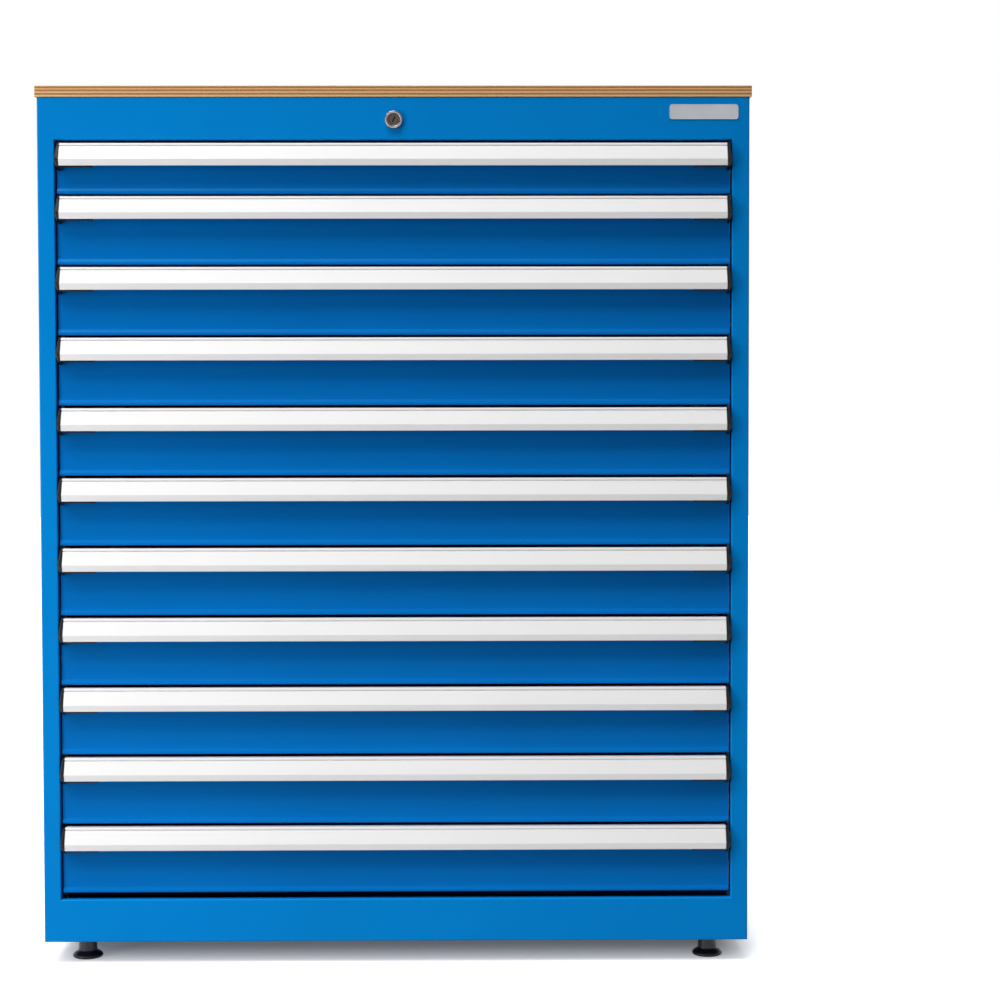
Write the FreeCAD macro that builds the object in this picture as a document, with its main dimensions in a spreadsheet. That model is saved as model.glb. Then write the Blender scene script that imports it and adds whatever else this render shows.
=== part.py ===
"""Tool cabinet with eleven full-extension drawers, millimetres, +Z up.

The front looks along -Y. The origin is on the floor, in the middle of the box that holds the
cabinet. Each piece is drawn in the casing's own frame, whose Y = 0 is the front face of the
casing (positive into the cabinet) and whose Z = 0 is its lower edge. A drawer's pieces are
drawn from the lower edge of its front. The placement of each piece then carries it to its seat.
"""
import FreeCAD, Part
import math
import os
import Sketcher
from FreeCAD import Placement, Rotation, Vector

os.makedirs("parts", exist_ok=True)
doc = FreeCAD.newDocument("tool_cabinet")

# Driving dimensions

DIMENSIONS = {
    # casing
    "casing_sheet": 1.5,
    "back_sheet": 1.0,
    "stile_width": 24.5,
    "fold_depth": 20.0,
    "rear_flange": 22.0,
    "bend_radius": 2.0,
    "plinth_height": 61.4,
    "plinth_fold": 12.0,
    "fascia_height": 60.3,
    "space_under_drawers": 9.2,
    "space_over_drawers": 1.1,
    "space_behind_drawers": 109.3,
    # drawers
    "module_low": 75.0,
    "module_tall": 100.0,
    "front_spacing": 4.0,
    "front_recess": 6.0,
    "front_thickness": 16.0,
    "front_side_gap": 2.6,
    "lip_height": 3.9,
    "lip_step": 2.0,
    "shoulder_height": 4.4,
    "tray_width": 900.0,
    "tray_depth": 600.0,
    "tray_sheet": 1.2,
    "tray_lift": 3.0,
    "wall_below_module": 23.0,
    "wall_hem": 6.0,
    # handle strip and its end caps
    "handle_height": 32.5,
    "handle_reach": 13.0,
    "handle_wall": 2.0,
    "knee_height": 9.0,
    "band_slope": 1.5,
    "face_height": 18.9,
    "face_slope": 7.4,
    "groove_height": 1.4,
    "groove_depth": 1.5,
    "handle_leg": 14.0,
    "cap_width": 6.5,
    "cap_side_gap": 1.3,
    "cap_margin": 0.5,
    "cap_heel": 6.0,
    "tongue_length": 48.0,
    "tongue_drop": 2.2,
    "tongue_thickness": 3.0,
    # runners
    "runner_space": 29.8,
    "runner_centre": 25.0,
    "roller_size": 20.0,
    "roller_width": 9.5,
    "roller_play": 0.3,
    "rail_sheet": 2.0,
    "rail_flange": 14.0,
    "rail_behind_stile": 1.0,
    "rail_start": 31.0,
    "rail_length": 640.0,
    "drawer_rail_sheet": 1.5,
    "drawer_rail_flange": 12.8,
    "carriage_web": 2.0,
    "carriage_gap": 1.0,
    "carriage_height": 18.0,
    "carriage_start": 40.0,
    "carriage_length": 565.0,
    "roller_inset": 14.0,
    "inner_roller_back": 255.0,
    "outer_roller_front": 320.0,
    "upright_width": 40.0,
    "upright_sheet": 2.0,
    "upright_start": 60.0,
    "upright_spacing": 500.0,
    "upright_end_gap": 30.0,
    # lock
    "lock_below_top": 32.4,
    "ring_size": 26.0,
    "ring_height": 5.5,
    "barrel_size": 19.0,
    "barrel_length": 17.5,
    "lock_nut_size": 28.0,
    "lock_nut_length": 5.0,
    "plug_size": 13.0,
    "plug_play": 0.05,
    "plug_recess": 0.8,
    "keyway_width": 1.8,
    "keyway_length": 8.0,
    "keyway_depth": 12.0,
    "keyway_tilt": 25.0,
    "plug_disc_size": 18.0,
    "plug_disc_length": 2.5,
    "pin_size": 4.0,
    "pin_length": 9.0,
    "bar_travel": 8.0,
    "bar_start": 25.0,
    "bar_sheet": 2.0,
    "bar_width": 14.5,
    "bar_behind_stile": 2.5,
    "bar_play": 0.3,
    "arm_height": 16.0,
    "arm_overrun": 14.0,
    "catch_reach": 13.0,
    "catch_height": 7.0,
    "catch_above_tab": 2.0,
    "tab_below_wall_top": 12.0,
    "tab_height": 8.0,
    "tab_behind_catch": 1.0,
    "tab_reach": 22.8,
    "guide_height": 20.0,
    "guide_depth": 12.0,
    "guide_wall": 2.0,
    # badge plate
    "badge_width": 98.0,
    "badge_height": 21.0,
    "badge_thickness": 1.2,
    "badge_radius": 4.0,
    "badge_below_top": 21.2,
    "badge_from_side": 65.0,
    # worktop and its screws
    "worktop_thickness": 16.0,
    "worktop_side_overhang": 3.0,
    "worktop_front_overhang": 1.0,
    "worktop_edge": 0.8,
    "screw_size": 4.0,
    "screw_play": 0.3,
    "screw_bite": 11.0,
    "screw_head_size": 9.0,
    "screw_head_height": 3.0,
    "screw_side_inset": 80.0,
    "screw_end_inset": 90.0,
    # levelling feet
    "foot_height": 33.0,
    "foot_pad_size": 44.0,
    "foot_pad_rim": 3.5,
    "foot_neck_size": 27.0,
    "foot_neck_start": 11.5,
    "foot_stem_size": 11.4,
    "foot_stem_length": 45.0,
    "foot_play": 0.3,
    "foot_side_inset": 53.0,
    "foot_end_inset": 50.0,
    "foot_nut_size": 22.0,
    "foot_nut_height": 10.0,
}

TALL_DRAWERS = 10
DRAWERS = TALL_DRAWERS + 1
SIDES = (("left", -1), ("right", 1))
GUIDE_WORDS = ("lower", "middle", "upper")
FOOT_FLARE = ((0.75, 0.45), (0.35, 0.82))
DRAFT_RADIUS = 10
DRAFT_STEP = 10
NEAR = 0.01
STRAIGHT = 1e-6

sizes = doc.addObject("Spreadsheet::Sheet", "sizes")
for row, (alias, millimetres) in enumerate(DIMENSIONS.items(), start=1):
    sizes.set(f"A{row}", alias)
    sizes.set(f"B{row}", str(millimetres))
    sizes.setAlias(f"B{row}", alias)
doc.recompute()


def size(alias):
    """The expression that reads one driving dimension from the sheet."""
    if alias not in DIMENSIONS:
        raise KeyError(alias)
    return "sizes." + alias


def total(*terms):
    """The sum of some expressions, bracketed for use in another one."""
    return "(" + " + ".join(terms) + ")"


def less(first, *terms):
    """One expression less some others, bracketed."""
    return "(" + " - ".join((first,) + terms) + ")"


def half(term):
    return f"({term} / 2)"


def minus(term):
    return f"(-1 * {term})"


# Lengths that follow from the driving dimensions

OPENING_WIDTH = total(size("tray_width"), f"2 * {size('tray_sheet')}", f"2 * {size('runner_space')}")
CASING_WIDTH = total(OPENING_WIDTH, f"2 * {size('stile_width')}")
OPENING_TOP = total(
    size("plinth_height"), size("space_under_drawers"), size("module_low"),
    f"{TALL_DRAWERS} * {size('module_tall')}", size("space_over_drawers"))
CASING_HEIGHT = total(OPENING_TOP, size("fascia_height"))
TRAY_START = total(size("front_recess"), size("front_thickness"))
TRAY_END = total(TRAY_START, size("tray_depth"))
CASING_DEPTH = total(
    TRAY_END, size("tray_sheet"), size("space_behind_drawers"),
    size("back_sheet"), size("casing_sheet"))
FRONT_Y = half(less(total(size("handle_reach"), size("cap_margin")), CASING_DEPTH))
TRAY_HALF = total(half(size("tray_width")), size("tray_sheet"))
OPENING_HALF = half(OPENING_WIDTH)
CASING_HALF = half(CASING_WIDTH)
WALL_INNER = less(CASING_HALF, size("casing_sheet"))
FRONT_HALF = less(OPENING_HALF, size("front_side_gap"))
CAP_OUTER = less(OPENING_HALF, size("cap_side_gap"))
HANDLE_HALF = less(CAP_OUTER, size("cap_width"))
LOCK_Z = less(CASING_HEIGHT, size("lock_below_top"))
RAIL_OUTER = total(OPENING_HALF, size("rail_behind_stile"))
RAIL_INNER = less(RAIL_OUTER, size("rail_flange"))
CARRIAGE_OUTER = less(RAIL_INNER, size("carriage_gap"))
CARRIAGE_INNER = less(CARRIAGE_OUTER, size("carriage_web"))
ROLLER_RADIUS = half(size("roller_size"))
PIN_RADIUS = half(size("pin_size"))
PIN_THROW = f"({size('bar_travel')} / {2 * math.sin(math.radians(45))})"
PIN_OFFSET = half(size("bar_travel"))


def module_height(number):
    """The pitch of a drawer: the uppermost one is low, the others are tall."""
    return size("module_low") if number == 1 else size("module_tall")


def module_base(number):
    """Height of the lower edge of a drawer's front above the casing's lower edge."""
    below = DRAWERS - number
    return total(size("plinth_height"), size("space_under_drawers"),
                 f"{below} * {size('module_tall')}")


def wall_top(number):
    """Height of a tray's side wall above the lower edge of its front."""
    return less(module_height(number), size("wall_below_module"))


# Drawing helpers

def seat(piece, label, base="0"):
    """Names a piece and carries it from the casing's frame to its place on the floor."""
    piece.Label = label
    piece.setExpression("Placement.Base.y", FRONT_Y)
    piece.setExpression("Placement.Base.z", total(size("foot_height"), base))
    nodes.append(piece)
    return piece


def new_body(name):
    return doc.addObject("PartDesign::Body", name)


def sketch_on(body, name, role, offset):
    """A sketch on one of the body's own origin planes, moved along that plane's normal."""
    sketch = body.newObject("Sketcher::SketchObject", name)
    plane = [item for item in body.Origin.OriginFeatures if item.Role == role][0]
    sketch.AttachmentSupport = [(plane, "")]
    sketch.MapMode = "FlatFace"
    sketch.setExpression("AttachmentOffset.Base.z", offset)
    return sketch


def outline(body, name, role, offset, points):
    """A closed polygon whose corners are each held by two dimensions from the origin."""
    sketch = sketch_on(body, name, role, offset)
    count = len(points)
    turns = [2 * math.pi * i / count for i in range(count)]
    start = [Vector(DRAFT_RADIUS * math.cos(turn), DRAFT_RADIUS * math.sin(turn), 0) for turn in turns]
    sketch.addGeometry([Part.LineSegment(start[i], start[(i + 1) % count]) for i in range(count)], False)
    rules = [Sketcher.Constraint("Coincident", i, 2, (i + 1) % count, 1) for i in range(count)]
    for i in range(count):
        rules.append(Sketcher.Constraint("DistanceX", -1, 1, i, 1, start[i].x))
        rules.append(Sketcher.Constraint("DistanceY", -1, 1, i, 1, start[i].y))
    sketch.addConstraint(rules)
    for i, (across, up) in enumerate(points):
        sketch.setExpression(f"Constraints[{count + 2 * i}]", across)
        sketch.setExpression(f"Constraints[{count + 2 * i + 1}]", up)
    return sketch


def circles(body, name, role, offset, centres, radius):
    """Circles of one radius, each centre held by two dimensions from the origin."""
    sketch = sketch_on(body, name, role, offset)
    for i in range(len(centres)):
        draft = DRAFT_STEP * (i + 1)
        sketch.addGeometry(Part.Circle(Vector(draft, DRAFT_STEP, 0), Vector(0, 0, 1), 1), False)
        sketch.addConstraint([
            Sketcher.Constraint("DistanceX", -1, 1, i, 3, draft),
            Sketcher.Constraint("DistanceY", -1, 1, i, 3, DRAFT_STEP),
            Sketcher.Constraint("Radius", i, 1)])
    for i, (across, up) in enumerate(centres):
        sketch.setExpression(f"Constraints[{3 * i}]", across)
        sketch.setExpression(f"Constraints[{3 * i + 1}]", up)
        sketch.setExpression(f"Constraints[{3 * i + 2}]", radius)
    return sketch


def pad(body, name, sketch, length):
    feature = body.newObject("PartDesign::Pad", name)
    feature.Profile = sketch
    feature.setExpression("Length", length)
    return feature


def prism(body, name, role, start, end, points):
    """A polygon carried from one distance to another along an axis.

    XY_Plane is carried along +Z, YZ_Plane along +X, and XZ_Plane, whose normal is -Y, is drawn
    at its far end and carried back to the near one.
    """
    offset = minus(end) if role == "XZ_Plane" else start
    return pad(body, name, outline(body, name + "_outline", role, offset, points), less(end, start))


def slab(body, name, x_span, y_span, z_span):
    """A rectangular block between three pairs of limits."""
    corners = [(x_span[i], y_span[j]) for i, j in ((0, 0), (1, 0), (1, 1), (0, 1))]
    return prism(body, name, "XY_Plane", z_span[0], z_span[1], corners)


def drill(body, name, role, offset, depth, centres, radius, reverse=False):
    """Round holes from a plane into the body, checked by the volume that they take."""
    doc.recompute()
    before = body.Shape.Volume
    feature = body.newObject("PartDesign::Pocket", name)
    feature.Profile = circles(body, name + "_circles", role, offset, centres, radius)
    feature.setExpression("Length", depth)
    feature.Reversed = reverse
    doc.recompute()
    if not body.Shape.Volume < before:
        raise RuntimeError(f"{name} cuts nothing")
    return feature


def round_edges(body, name, radius, wanted):
    """Fillets the edges of the body's present shape that the test picks."""
    doc.recompute()
    tip = body.Tip
    names = [f"Edge{i}" for i, edge in enumerate(tip.Shape.Edges, start=1) if wanted(edge)]
    if not names:
        raise RuntimeError(f"{name} finds no edge")
    feature = body.newObject("PartDesign::Fillet", name)
    feature.Base = (tip, names)
    feature.setExpression("Radius", radius)
    return feature


def runs_along(edge, axis):
    """True for a straight edge along one axis, given as 0, 1 or 2."""
    if len(edge.Vertexes) != 2:
        return False
    step = edge.Vertexes[1].Point.sub(edge.Vertexes[0].Point)
    return abs(abs(step[axis]) - step.Length) < STRAIGHT * step.Length


def box(name, x_span, y_span, z_span):
    """A Part box between three pairs of limits."""
    item = doc.addObject("Part::Box", name)
    for side, axis, span in (("Length", "x", x_span), ("Width", "y", y_span), ("Height", "z", z_span)):
        item.setExpression(side, less(span[1], span[0]))
        item.setExpression(f"Placement.Base.{axis}", span[0])
    return item


def mirrored(span, side):
    """A pair of X limits on the right, or the same pair on the left."""
    return span if side > 0 else (minus(span[1]), minus(span[0]))


AXIS_TURNS = {"x": Rotation(Vector(0, 1, 0), 90), "y": Rotation(Vector(1, 0, 0), -90), "z": Rotation()}


def rod(name, axis, radius, start, end, first, second):
    """A cylinder along an axis; first and second place it on the other two, in X, Y, Z order."""
    item = doc.addObject("Part::Cylinder", name)
    item.Placement = Placement(Vector(), AXIS_TURNS[axis])
    item.setExpression("Radius", radius)
    item.setExpression("Height", less(end, start))
    item.setExpression(f"Placement.Base.{axis}", start)
    for letter, place in zip([letter for letter in "xyz" if letter != axis], (first, second)):
        item.setExpression(f"Placement.Base.{letter}", place)
    return item


def cut(name, base, tool):
    item = doc.addObject("Part::Cut", name)
    item.Base = base
    item.Tool = tool
    return item


def group(name, items):
    """Separate solids that share one node."""
    item = doc.addObject("Part::Compound", name)
    item.Links = items
    return item


nodes = []


# Casing

def make_side_panel(name, side):
    """Folded sheet: return, stile, side wall and rear flange are one profile, carried upwards."""
    sheet = size("casing_sheet")
    back = CASING_DEPTH
    profile = [
        (OPENING_HALF, "0"),
        (CASING_HALF, "0"),
        (CASING_HALF, back),
        (less(CASING_HALF, size("rear_flange")), back),
        (less(CASING_HALF, size("rear_flange")), less(back, sheet)),
        (WALL_INNER, less(back, sheet)),
        (WALL_INNER, sheet),
        (total(OPENING_HALF, sheet), sheet),
        (total(OPENING_HALF, sheet), size("fold_depth")),
        (OPENING_HALF, size("fold_depth")),
    ]
    if side < 0:
        profile = [(minus(across), up) for across, up in profile]
    body = new_body(name)
    prism(body, name + "_sheet", "XY_Plane", sheet, less(CASING_HEIGHT, sheet), profile)

    def outer_bend(edge):
        middle = edge.BoundBox.Center
        frame = body.Tip.Shape.BoundBox
        outside = frame.XMax if side > 0 else frame.XMin
        at_side = abs(middle.x - outside) < NEAR
        at_end = min(abs(middle.y - frame.YMin), abs(middle.y - frame.YMax)) < NEAR
        return runs_along(edge, 2) and at_side and at_end

    round_edges(body, name + "_bends", size("bend_radius"), outer_bend)
    return seat(body, name)


def make_top_panel():
    """Top plate with the fascia, its return and a rear flange folded from it."""
    sheet = size("casing_sheet")
    top = CASING_HEIGHT
    under = less(top, sheet)
    body = new_body("top_panel")
    slab(body, "top_plate", (minus(CASING_HALF), CASING_HALF), ("0", CASING_DEPTH), (under, top))
    fascia = [
        ("0", under),
        ("0", OPENING_TOP),
        (size("fold_depth"), OPENING_TOP),
        (size("fold_depth"), total(OPENING_TOP, sheet)),
        (sheet, total(OPENING_TOP, sheet)),
        (sheet, under),
    ]
    prism(body, "fascia", "YZ_Plane", minus(OPENING_HALF), OPENING_HALF, fascia)
    flange_half = less(WALL_INNER, size("rear_flange"))
    slab(body, "top_rear_flange", (minus(flange_half), flange_half),
         (less(CASING_DEPTH, sheet), CASING_DEPTH), (less(under, size("rear_flange")), under))
    barrel_hole = total(half(size("barrel_size")), size("screw_play"))
    drill(body, "lock_hole", "XZ_Plane", "0", size("casing_sheet"), [("0", LOCK_Z)], barrel_hole)
    drill(body, "worktop_screw_holes", "XY_Plane", top, size("casing_sheet"), screw_centres(),
          total(half(size("screw_size")), size("screw_play")))
    return seat(body, "top_panel")


def screw_centres():
    """Six screws under the worktop, three along each side."""
    across = less(CASING_HALF, size("screw_side_inset"))
    rows = (size("screw_end_inset"), half(CASING_DEPTH), less(CASING_DEPTH, size("screw_end_inset")))
    return [(place, row) for place in (minus(across), across) for row in rows]


def make_bottom_panel():
    """Bottom plate with the plinth, the fold along its top and a rear flange."""
    sheet = size("casing_sheet")
    top = size("plinth_height")
    body = new_body("bottom_panel")
    slab(body, "bottom_plate", (minus(CASING_HALF), CASING_HALF), ("0", CASING_DEPTH), ("0", sheet))
    plinth = [
        ("0", sheet),
        ("0", top),
        (size("plinth_fold"), top),
        (size("plinth_fold"), less(top, sheet)),
        (sheet, less(top, sheet)),
        (sheet, sheet),
    ]
    prism(body, "plinth", "YZ_Plane", minus(OPENING_HALF), OPENING_HALF, plinth)
    flange_half = less(WALL_INNER, size("rear_flange"))
    slab(body, "bottom_rear_flange", (minus(flange_half), flange_half),
         (less(CASING_DEPTH, sheet), CASING_DEPTH), (sheet, total(sheet, size("rear_flange"))))
    drill(body, "stem_holes", "XY_Plane", sheet, sheet, foot_centres(),
          total(half(size("foot_stem_size")), size("foot_play")))
    return seat(body, "bottom_panel")


def make_back_panel():
    """Flat sheet against the inside of the rear flanges."""
    body = new_body("back_panel")
    sheet = size("casing_sheet")
    rear = less(CASING_DEPTH, sheet)
    slab(body, "back_sheet_pad", (minus(WALL_INNER), WALL_INNER), (less(rear, size("back_sheet")), rear),
         (sheet, less(CASING_HEIGHT, sheet)))
    return seat(body, "back_panel")


def make_worktop():
    """Multiplex board with eased edges and pilot holes for its screws."""
    body = new_body("worktop")
    across = total(CASING_HALF, size("worktop_side_overhang"))
    top = total(CASING_HEIGHT, size("worktop_thickness"))
    slab(body, "board", (minus(across), across), (minus(size("worktop_front_overhang")), CASING_DEPTH),
         (CASING_HEIGHT, top))
    drill(body, "pilot_holes", "XY_Plane", CASING_HEIGHT, size("screw_bite"), screw_centres(),
          half(size("screw_size")), reverse=True)

    def outer_edge(edge):
        frame = body.Tip.Shape.BoundBox
        middle = edge.BoundBox.Center
        across_end = min(abs(middle.x - frame.XMin), abs(middle.x - frame.XMax)) < NEAR
        along_end = min(abs(middle.y - frame.YMin), abs(middle.y - frame.YMax)) < NEAR
        return len(edge.Vertexes) == 2 and (across_end or along_end)

    round_edges(body, "board_edges", size("worktop_edge"), outer_edge)
    return seat(body, "worktop")


def make_badge_plate():
    """Blank plate with rounded corners, stuck on the fascia."""
    middle = less(CASING_HALF, size("badge_from_side"))
    height = less(CASING_HEIGHT, size("badge_below_top"))
    body = new_body("badge_plate")
    slab(body, "badge_pad",
         (less(middle, half(size("badge_width"))), total(middle, half(size("badge_width")))),
         (minus(size("badge_thickness")), "0"),
         (less(height, half(size("badge_height"))), total(height, half(size("badge_height")))))
    round_edges(body, "badge_corners", size("badge_radius"), lambda edge: runs_along(edge, 1))
    return seat(body, "badge_plate")


# Drawers

def front_profile(number):
    """Side view of a drawer's double front: lip, shoulder, face, top fold and inner wall."""
    sheet = size("tray_sheet")
    face = size("front_recess")
    lip = less(face, size("lip_step"))
    back = total(face, size("front_thickness"))
    lip_top = size("lip_height")
    shoulder = total(lip_top, size("shoulder_height"))
    top = less(module_height(number), size("front_spacing"), size("handle_wall"))
    return [
        (lip, "0"),
        (lip, lip_top),
        (face, shoulder),
        (face, top),
        (back, top),
        (back, size("tray_lift")),
        (less(back, sheet), size("tray_lift")),
        (less(back, sheet), less(top, sheet)),
        (total(face, sheet), less(top, sheet)),
        (total(face, sheet), less(shoulder, half(sheet))),
        (total(lip, sheet), less(lip_top, half(sheet))),
        (total(lip, sheet), sheet),
        (less(back, size("lip_step"), sheet), sheet),
        (less(back, size("lip_step"), sheet), "0"),
    ]


def channel_profile(number):
    """Cross-section of the tray: floor, side walls with a hem, and the drawer rails on them."""
    sheet = size("tray_sheet")
    floor = size("tray_lift")
    inner = half(size("tray_width"))
    outer = TRAY_HALF
    top = wall_top(number)
    middle = size("runner_centre")
    gap = total(ROLLER_RADIUS, size("roller_play"))
    lower_in = less(middle, gap)
    lower_out = less(lower_in, size("drawer_rail_sheet"))
    upper_in = total(middle, gap)
    upper_out = total(upper_in, size("drawer_rail_sheet"))
    reach = total(outer, size("drawer_rail_flange"))
    hem = total(outer, size("wall_hem"))
    right = [
        (outer, floor),
        (outer, lower_out),
        (reach, lower_out),
        (reach, lower_in),
        (outer, lower_in),
        (outer, upper_in),
        (reach, upper_in),
        (reach, upper_out),
        (outer, upper_out),
        (outer, less(top, sheet)),
        (hem, less(top, sheet)),
        (hem, top),
        (inner, top),
        (inner, total(floor, sheet)),
    ]
    left = [(minus(across), up) for across, up in reversed(right)]
    return right + left


def make_tray(number):
    """Welded steel drawer: folded front, channel with rails and a rear wall, and the tab for the lock."""
    sheet = size("tray_sheet")
    name = f"drawer_{number:02d}_tray"
    front = new_body(name + "_front")
    prism(front, name + "_front_sheet", "YZ_Plane", minus(FRONT_HALF), FRONT_HALF, front_profile(number))
    channel = new_body(name + "_channel")
    prism(channel, name + "_channel_sheet", "XZ_Plane", TRAY_START, total(TRAY_END, sheet),
          channel_profile(number))
    slab(channel, name + "_rear_wall", (minus(TRAY_HALF), TRAY_HALF), (TRAY_END, total(TRAY_END, sheet)),
         (size("tray_lift"), wall_top(number)))
    tab_front = total(size("bar_start"), size("bar_sheet"), size("tab_behind_catch"))
    tab_low = less(wall_top(number), size("tab_below_wall_top"))
    tab = box(name + "_lock_tab", (TRAY_HALF, total(TRAY_HALF, size("tab_reach"))),
              (tab_front, total(tab_front, size("bar_sheet"))), (tab_low, total(tab_low, size("tab_height"))))
    return seat(group(name, [front, channel, tab]), name, module_base(number))


def handle_base(number):
    """Height of a handle's lower edge above the lower edge of the drawer's front."""
    return less(module_height(number), size("front_spacing"), size("handle_height"))


def handle_front(margin):
    """Front line of the handle from its lower edge to its top edge, moved out by a margin."""
    reach = total(size("handle_reach"), margin)
    face_top = less(reach, size("face_slope"))
    knee = size("knee_height")
    top_of_face = total(knee, size("face_height"))
    return [
        (minus(less(reach, size("band_slope"))), minus(margin)),
        (minus(reach), knee),
        (minus(face_top), top_of_face),
    ]


def make_handle(number):
    """Extruded strip: band, knee, face, groove, lip, top web and the leg on the drawer's front."""
    wall = size("handle_wall")
    face = size("front_recess")
    top = size("handle_height")
    knee = size("knee_height")
    reach = size("handle_reach")
    face_top = less(reach, size("face_slope"))
    lip_base = total(knee, size("face_height"), size("groove_height"))
    groove = less(face_top, size("groove_depth"))
    profile = handle_front("0") + [
        (minus(groove), total(knee, size("face_height"))),
        (minus(groove), lip_base),
        (minus(face_top), lip_base),
        (minus(less(face_top, half(wall))), top),
        (face, top),
        (face, less(top, size("handle_leg"))),
        (less(face, wall), less(top, size("handle_leg"))),
        (less(face, wall), less(top, wall)),
        (minus(less(groove, wall)), less(top, wall)),
        (minus(less(groove, wall)), less(lip_base, wall)),
        (minus(less(reach, wall)), less(knee, half(wall))),
        (minus(less(reach, size("band_slope"), wall)), "0"),
    ]
    name = f"drawer_{number:02d}_handle"
    body = new_body(name)
    prism(body, name + "_strip", "YZ_Plane", minus(HANDLE_HALF), HANDLE_HALF, profile)
    return seat(body, name, total(module_base(number), handle_base(number)))


def make_end_caps(number):
    """The pair of caps that close the strip, each with a heel and a tongue under the strip."""
    margin = size("cap_margin")
    face = size("front_recess")
    top = size("handle_height")
    wall = size("handle_wall")
    heel = size("cap_heel")
    profile = handle_front(margin) + [
        (minus(less(size("handle_reach"), size("face_slope"), wall)), total(top, margin)),
        (face, total(top, margin)),
        (face, minus(heel)),
        ("0", minus(heel)),
    ]
    band = less(size("handle_reach"), size("band_slope"), wall)
    tongue_y = (minus(band), total(minus(band), size("tongue_thickness")))
    pair = []
    for word, side in SIDES:
        name = f"drawer_{number:02d}_{word}_cap"
        body = new_body(name)
        x_span = mirrored((HANDLE_HALF, CAP_OUTER), side)
        prism(body, name + "_shell", "YZ_Plane", x_span[0], x_span[1], profile)
        tongue_x = mirrored((less(HANDLE_HALF, size("tongue_length")), HANDLE_HALF), side)
        tongue_z = (minus(size("tongue_drop")), half(size("knee_height")))
        slab(body, name + "_tongue", tongue_x, tongue_y, tongue_z)
        pair.append(body)
    return seat(group(f"drawer_{number:02d}_end_caps", pair), f"drawer_{number:02d}_end_caps",
                total(module_base(number), handle_base(number)))


def make_carriage(number):
    """Pair of middle runner members: a web with two rollers on each face, one pair per drawer."""
    start = size("carriage_start")
    end = total(start, size("carriage_length"))
    middle = size("runner_centre")
    items = []
    for word, side in SIDES:
        name = f"drawer_{number:02d}_{word}_member"
        web_z = (less(middle, half(size("carriage_height"))), total(middle, half(size("carriage_height"))))
        items.append(box(name, mirrored((CARRIAGE_INNER, CARRIAGE_OUTER), side), (start, end), web_z))
        inner = mirrored((less(CARRIAGE_INNER, size("roller_width")), CARRIAGE_INNER), side)
        outer = mirrored((CARRIAGE_OUTER, total(CARRIAGE_OUTER, size("roller_width"))), side)
        places = (
            (inner, total(start, size("roller_inset"))),
            (inner, total(start, size("inner_roller_back"))),
            (outer, total(start, size("outer_roller_front"))),
            (outer, less(end, size("roller_inset"))),
        )
        for index, (span, along) in enumerate(places, start=1):
            items.append(rod(f"{name}_roller_{index}", "x", ROLLER_RADIUS, span[0], span[1], along, middle))
    label = f"drawer_{number:02d}_carriage"
    return seat(group(label, items), label, module_base(number))


# Runner frame

def make_fixed_rail(number, word, side):
    """Channel that opens towards the drawer, fixed to the uprights."""
    middle = total(module_base(number), size("runner_centre"))
    gap = total(ROLLER_RADIUS, size("roller_play"))
    reach = total(gap, size("rail_sheet"))
    y_span = (size("rail_start"), total(size("rail_start"), size("rail_length")))
    name = f"rail_{number:02d}_{word}"
    outer = box(name + "_outside", mirrored((RAIL_INNER, RAIL_OUTER), side), y_span,
                (less(middle, reach), total(middle, reach)))
    hollow = mirrored((less(RAIL_INNER, size("rail_sheet")), less(RAIL_OUTER, size("rail_sheet"))), side)
    inner = box(name + "_hollow", hollow,
                (less(y_span[0], size("rail_sheet")), total(y_span[1], size("rail_sheet"))),
                (less(middle, gap), total(middle, gap)))
    return cut(name, outer, inner)


def make_upright(word, side, place, start):
    """Channel post between the side wall and the rails, open towards the side wall."""
    sheet = size("upright_sheet")
    z_span = (size("casing_sheet"), less(CASING_HEIGHT, size("upright_end_gap")))
    y_span = (start, total(start, size("upright_width")))
    name = f"upright_{place}_{word}"
    outer = box(name + "_outside", mirrored((RAIL_OUTER, WALL_INNER), side), y_span, z_span)
    hollow = mirrored((total(RAIL_OUTER, sheet), total(WALL_INNER, sheet)), side)
    inner = box(name + "_hollow", hollow, (total(y_span[0], sheet), less(y_span[1], sheet)),
                (less(z_span[0], sheet), total(z_span[1], sheet)))
    return cut(name, outer, inner)


def make_bar_guide(index, word):
    """Clip on the right side wall that holds the lock bar's outer edge with play."""
    play = size("bar_play")
    wall = size("guide_wall")
    step = f"({index} * {less(OPENING_TOP, size('plinth_height'))} / {len(GUIDE_WORDS)})"
    low = total(size("plinth_height"), step, minus(size("module_low")))
    z_span = (low, total(low, size("guide_height")))
    y_inner = (less(size("bar_start"), play), total(size("bar_start"), size("bar_sheet"), play))
    y_outer = (less(y_inner[0], wall), total(y_inner[1], wall))
    bar_outer = total(OPENING_HALF, size("bar_behind_stile"), size("bar_width"))
    name = f"bar_guide_{word}"
    block = box(name + "_block", (less(WALL_INNER, size("guide_depth")), WALL_INNER), y_outer, z_span)
    slot = box(name + "_slot", (less(WALL_INNER, size("guide_depth"), wall), total(bar_outer, play)), y_inner,
               (less(z_span[0], wall), total(z_span[1], wall)))
    return cut(name, block, slot)


def make_runner_frame():
    items = []
    for word, side in SIDES:
        items.append(make_upright(word, side, "front", size("upright_start")))
        items.append(make_upright(word, side, "rear", total(size("upright_start"), size("upright_spacing"))))
        for number in range(1, DRAWERS + 1):
            items.append(make_fixed_rail(number, word, side))
    for index, word in enumerate(GUIDE_WORDS, start=1):
        items.append(make_bar_guide(index, word))
    return seat(group("runner_frame", items), "runner_frame")


# Lock

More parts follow.
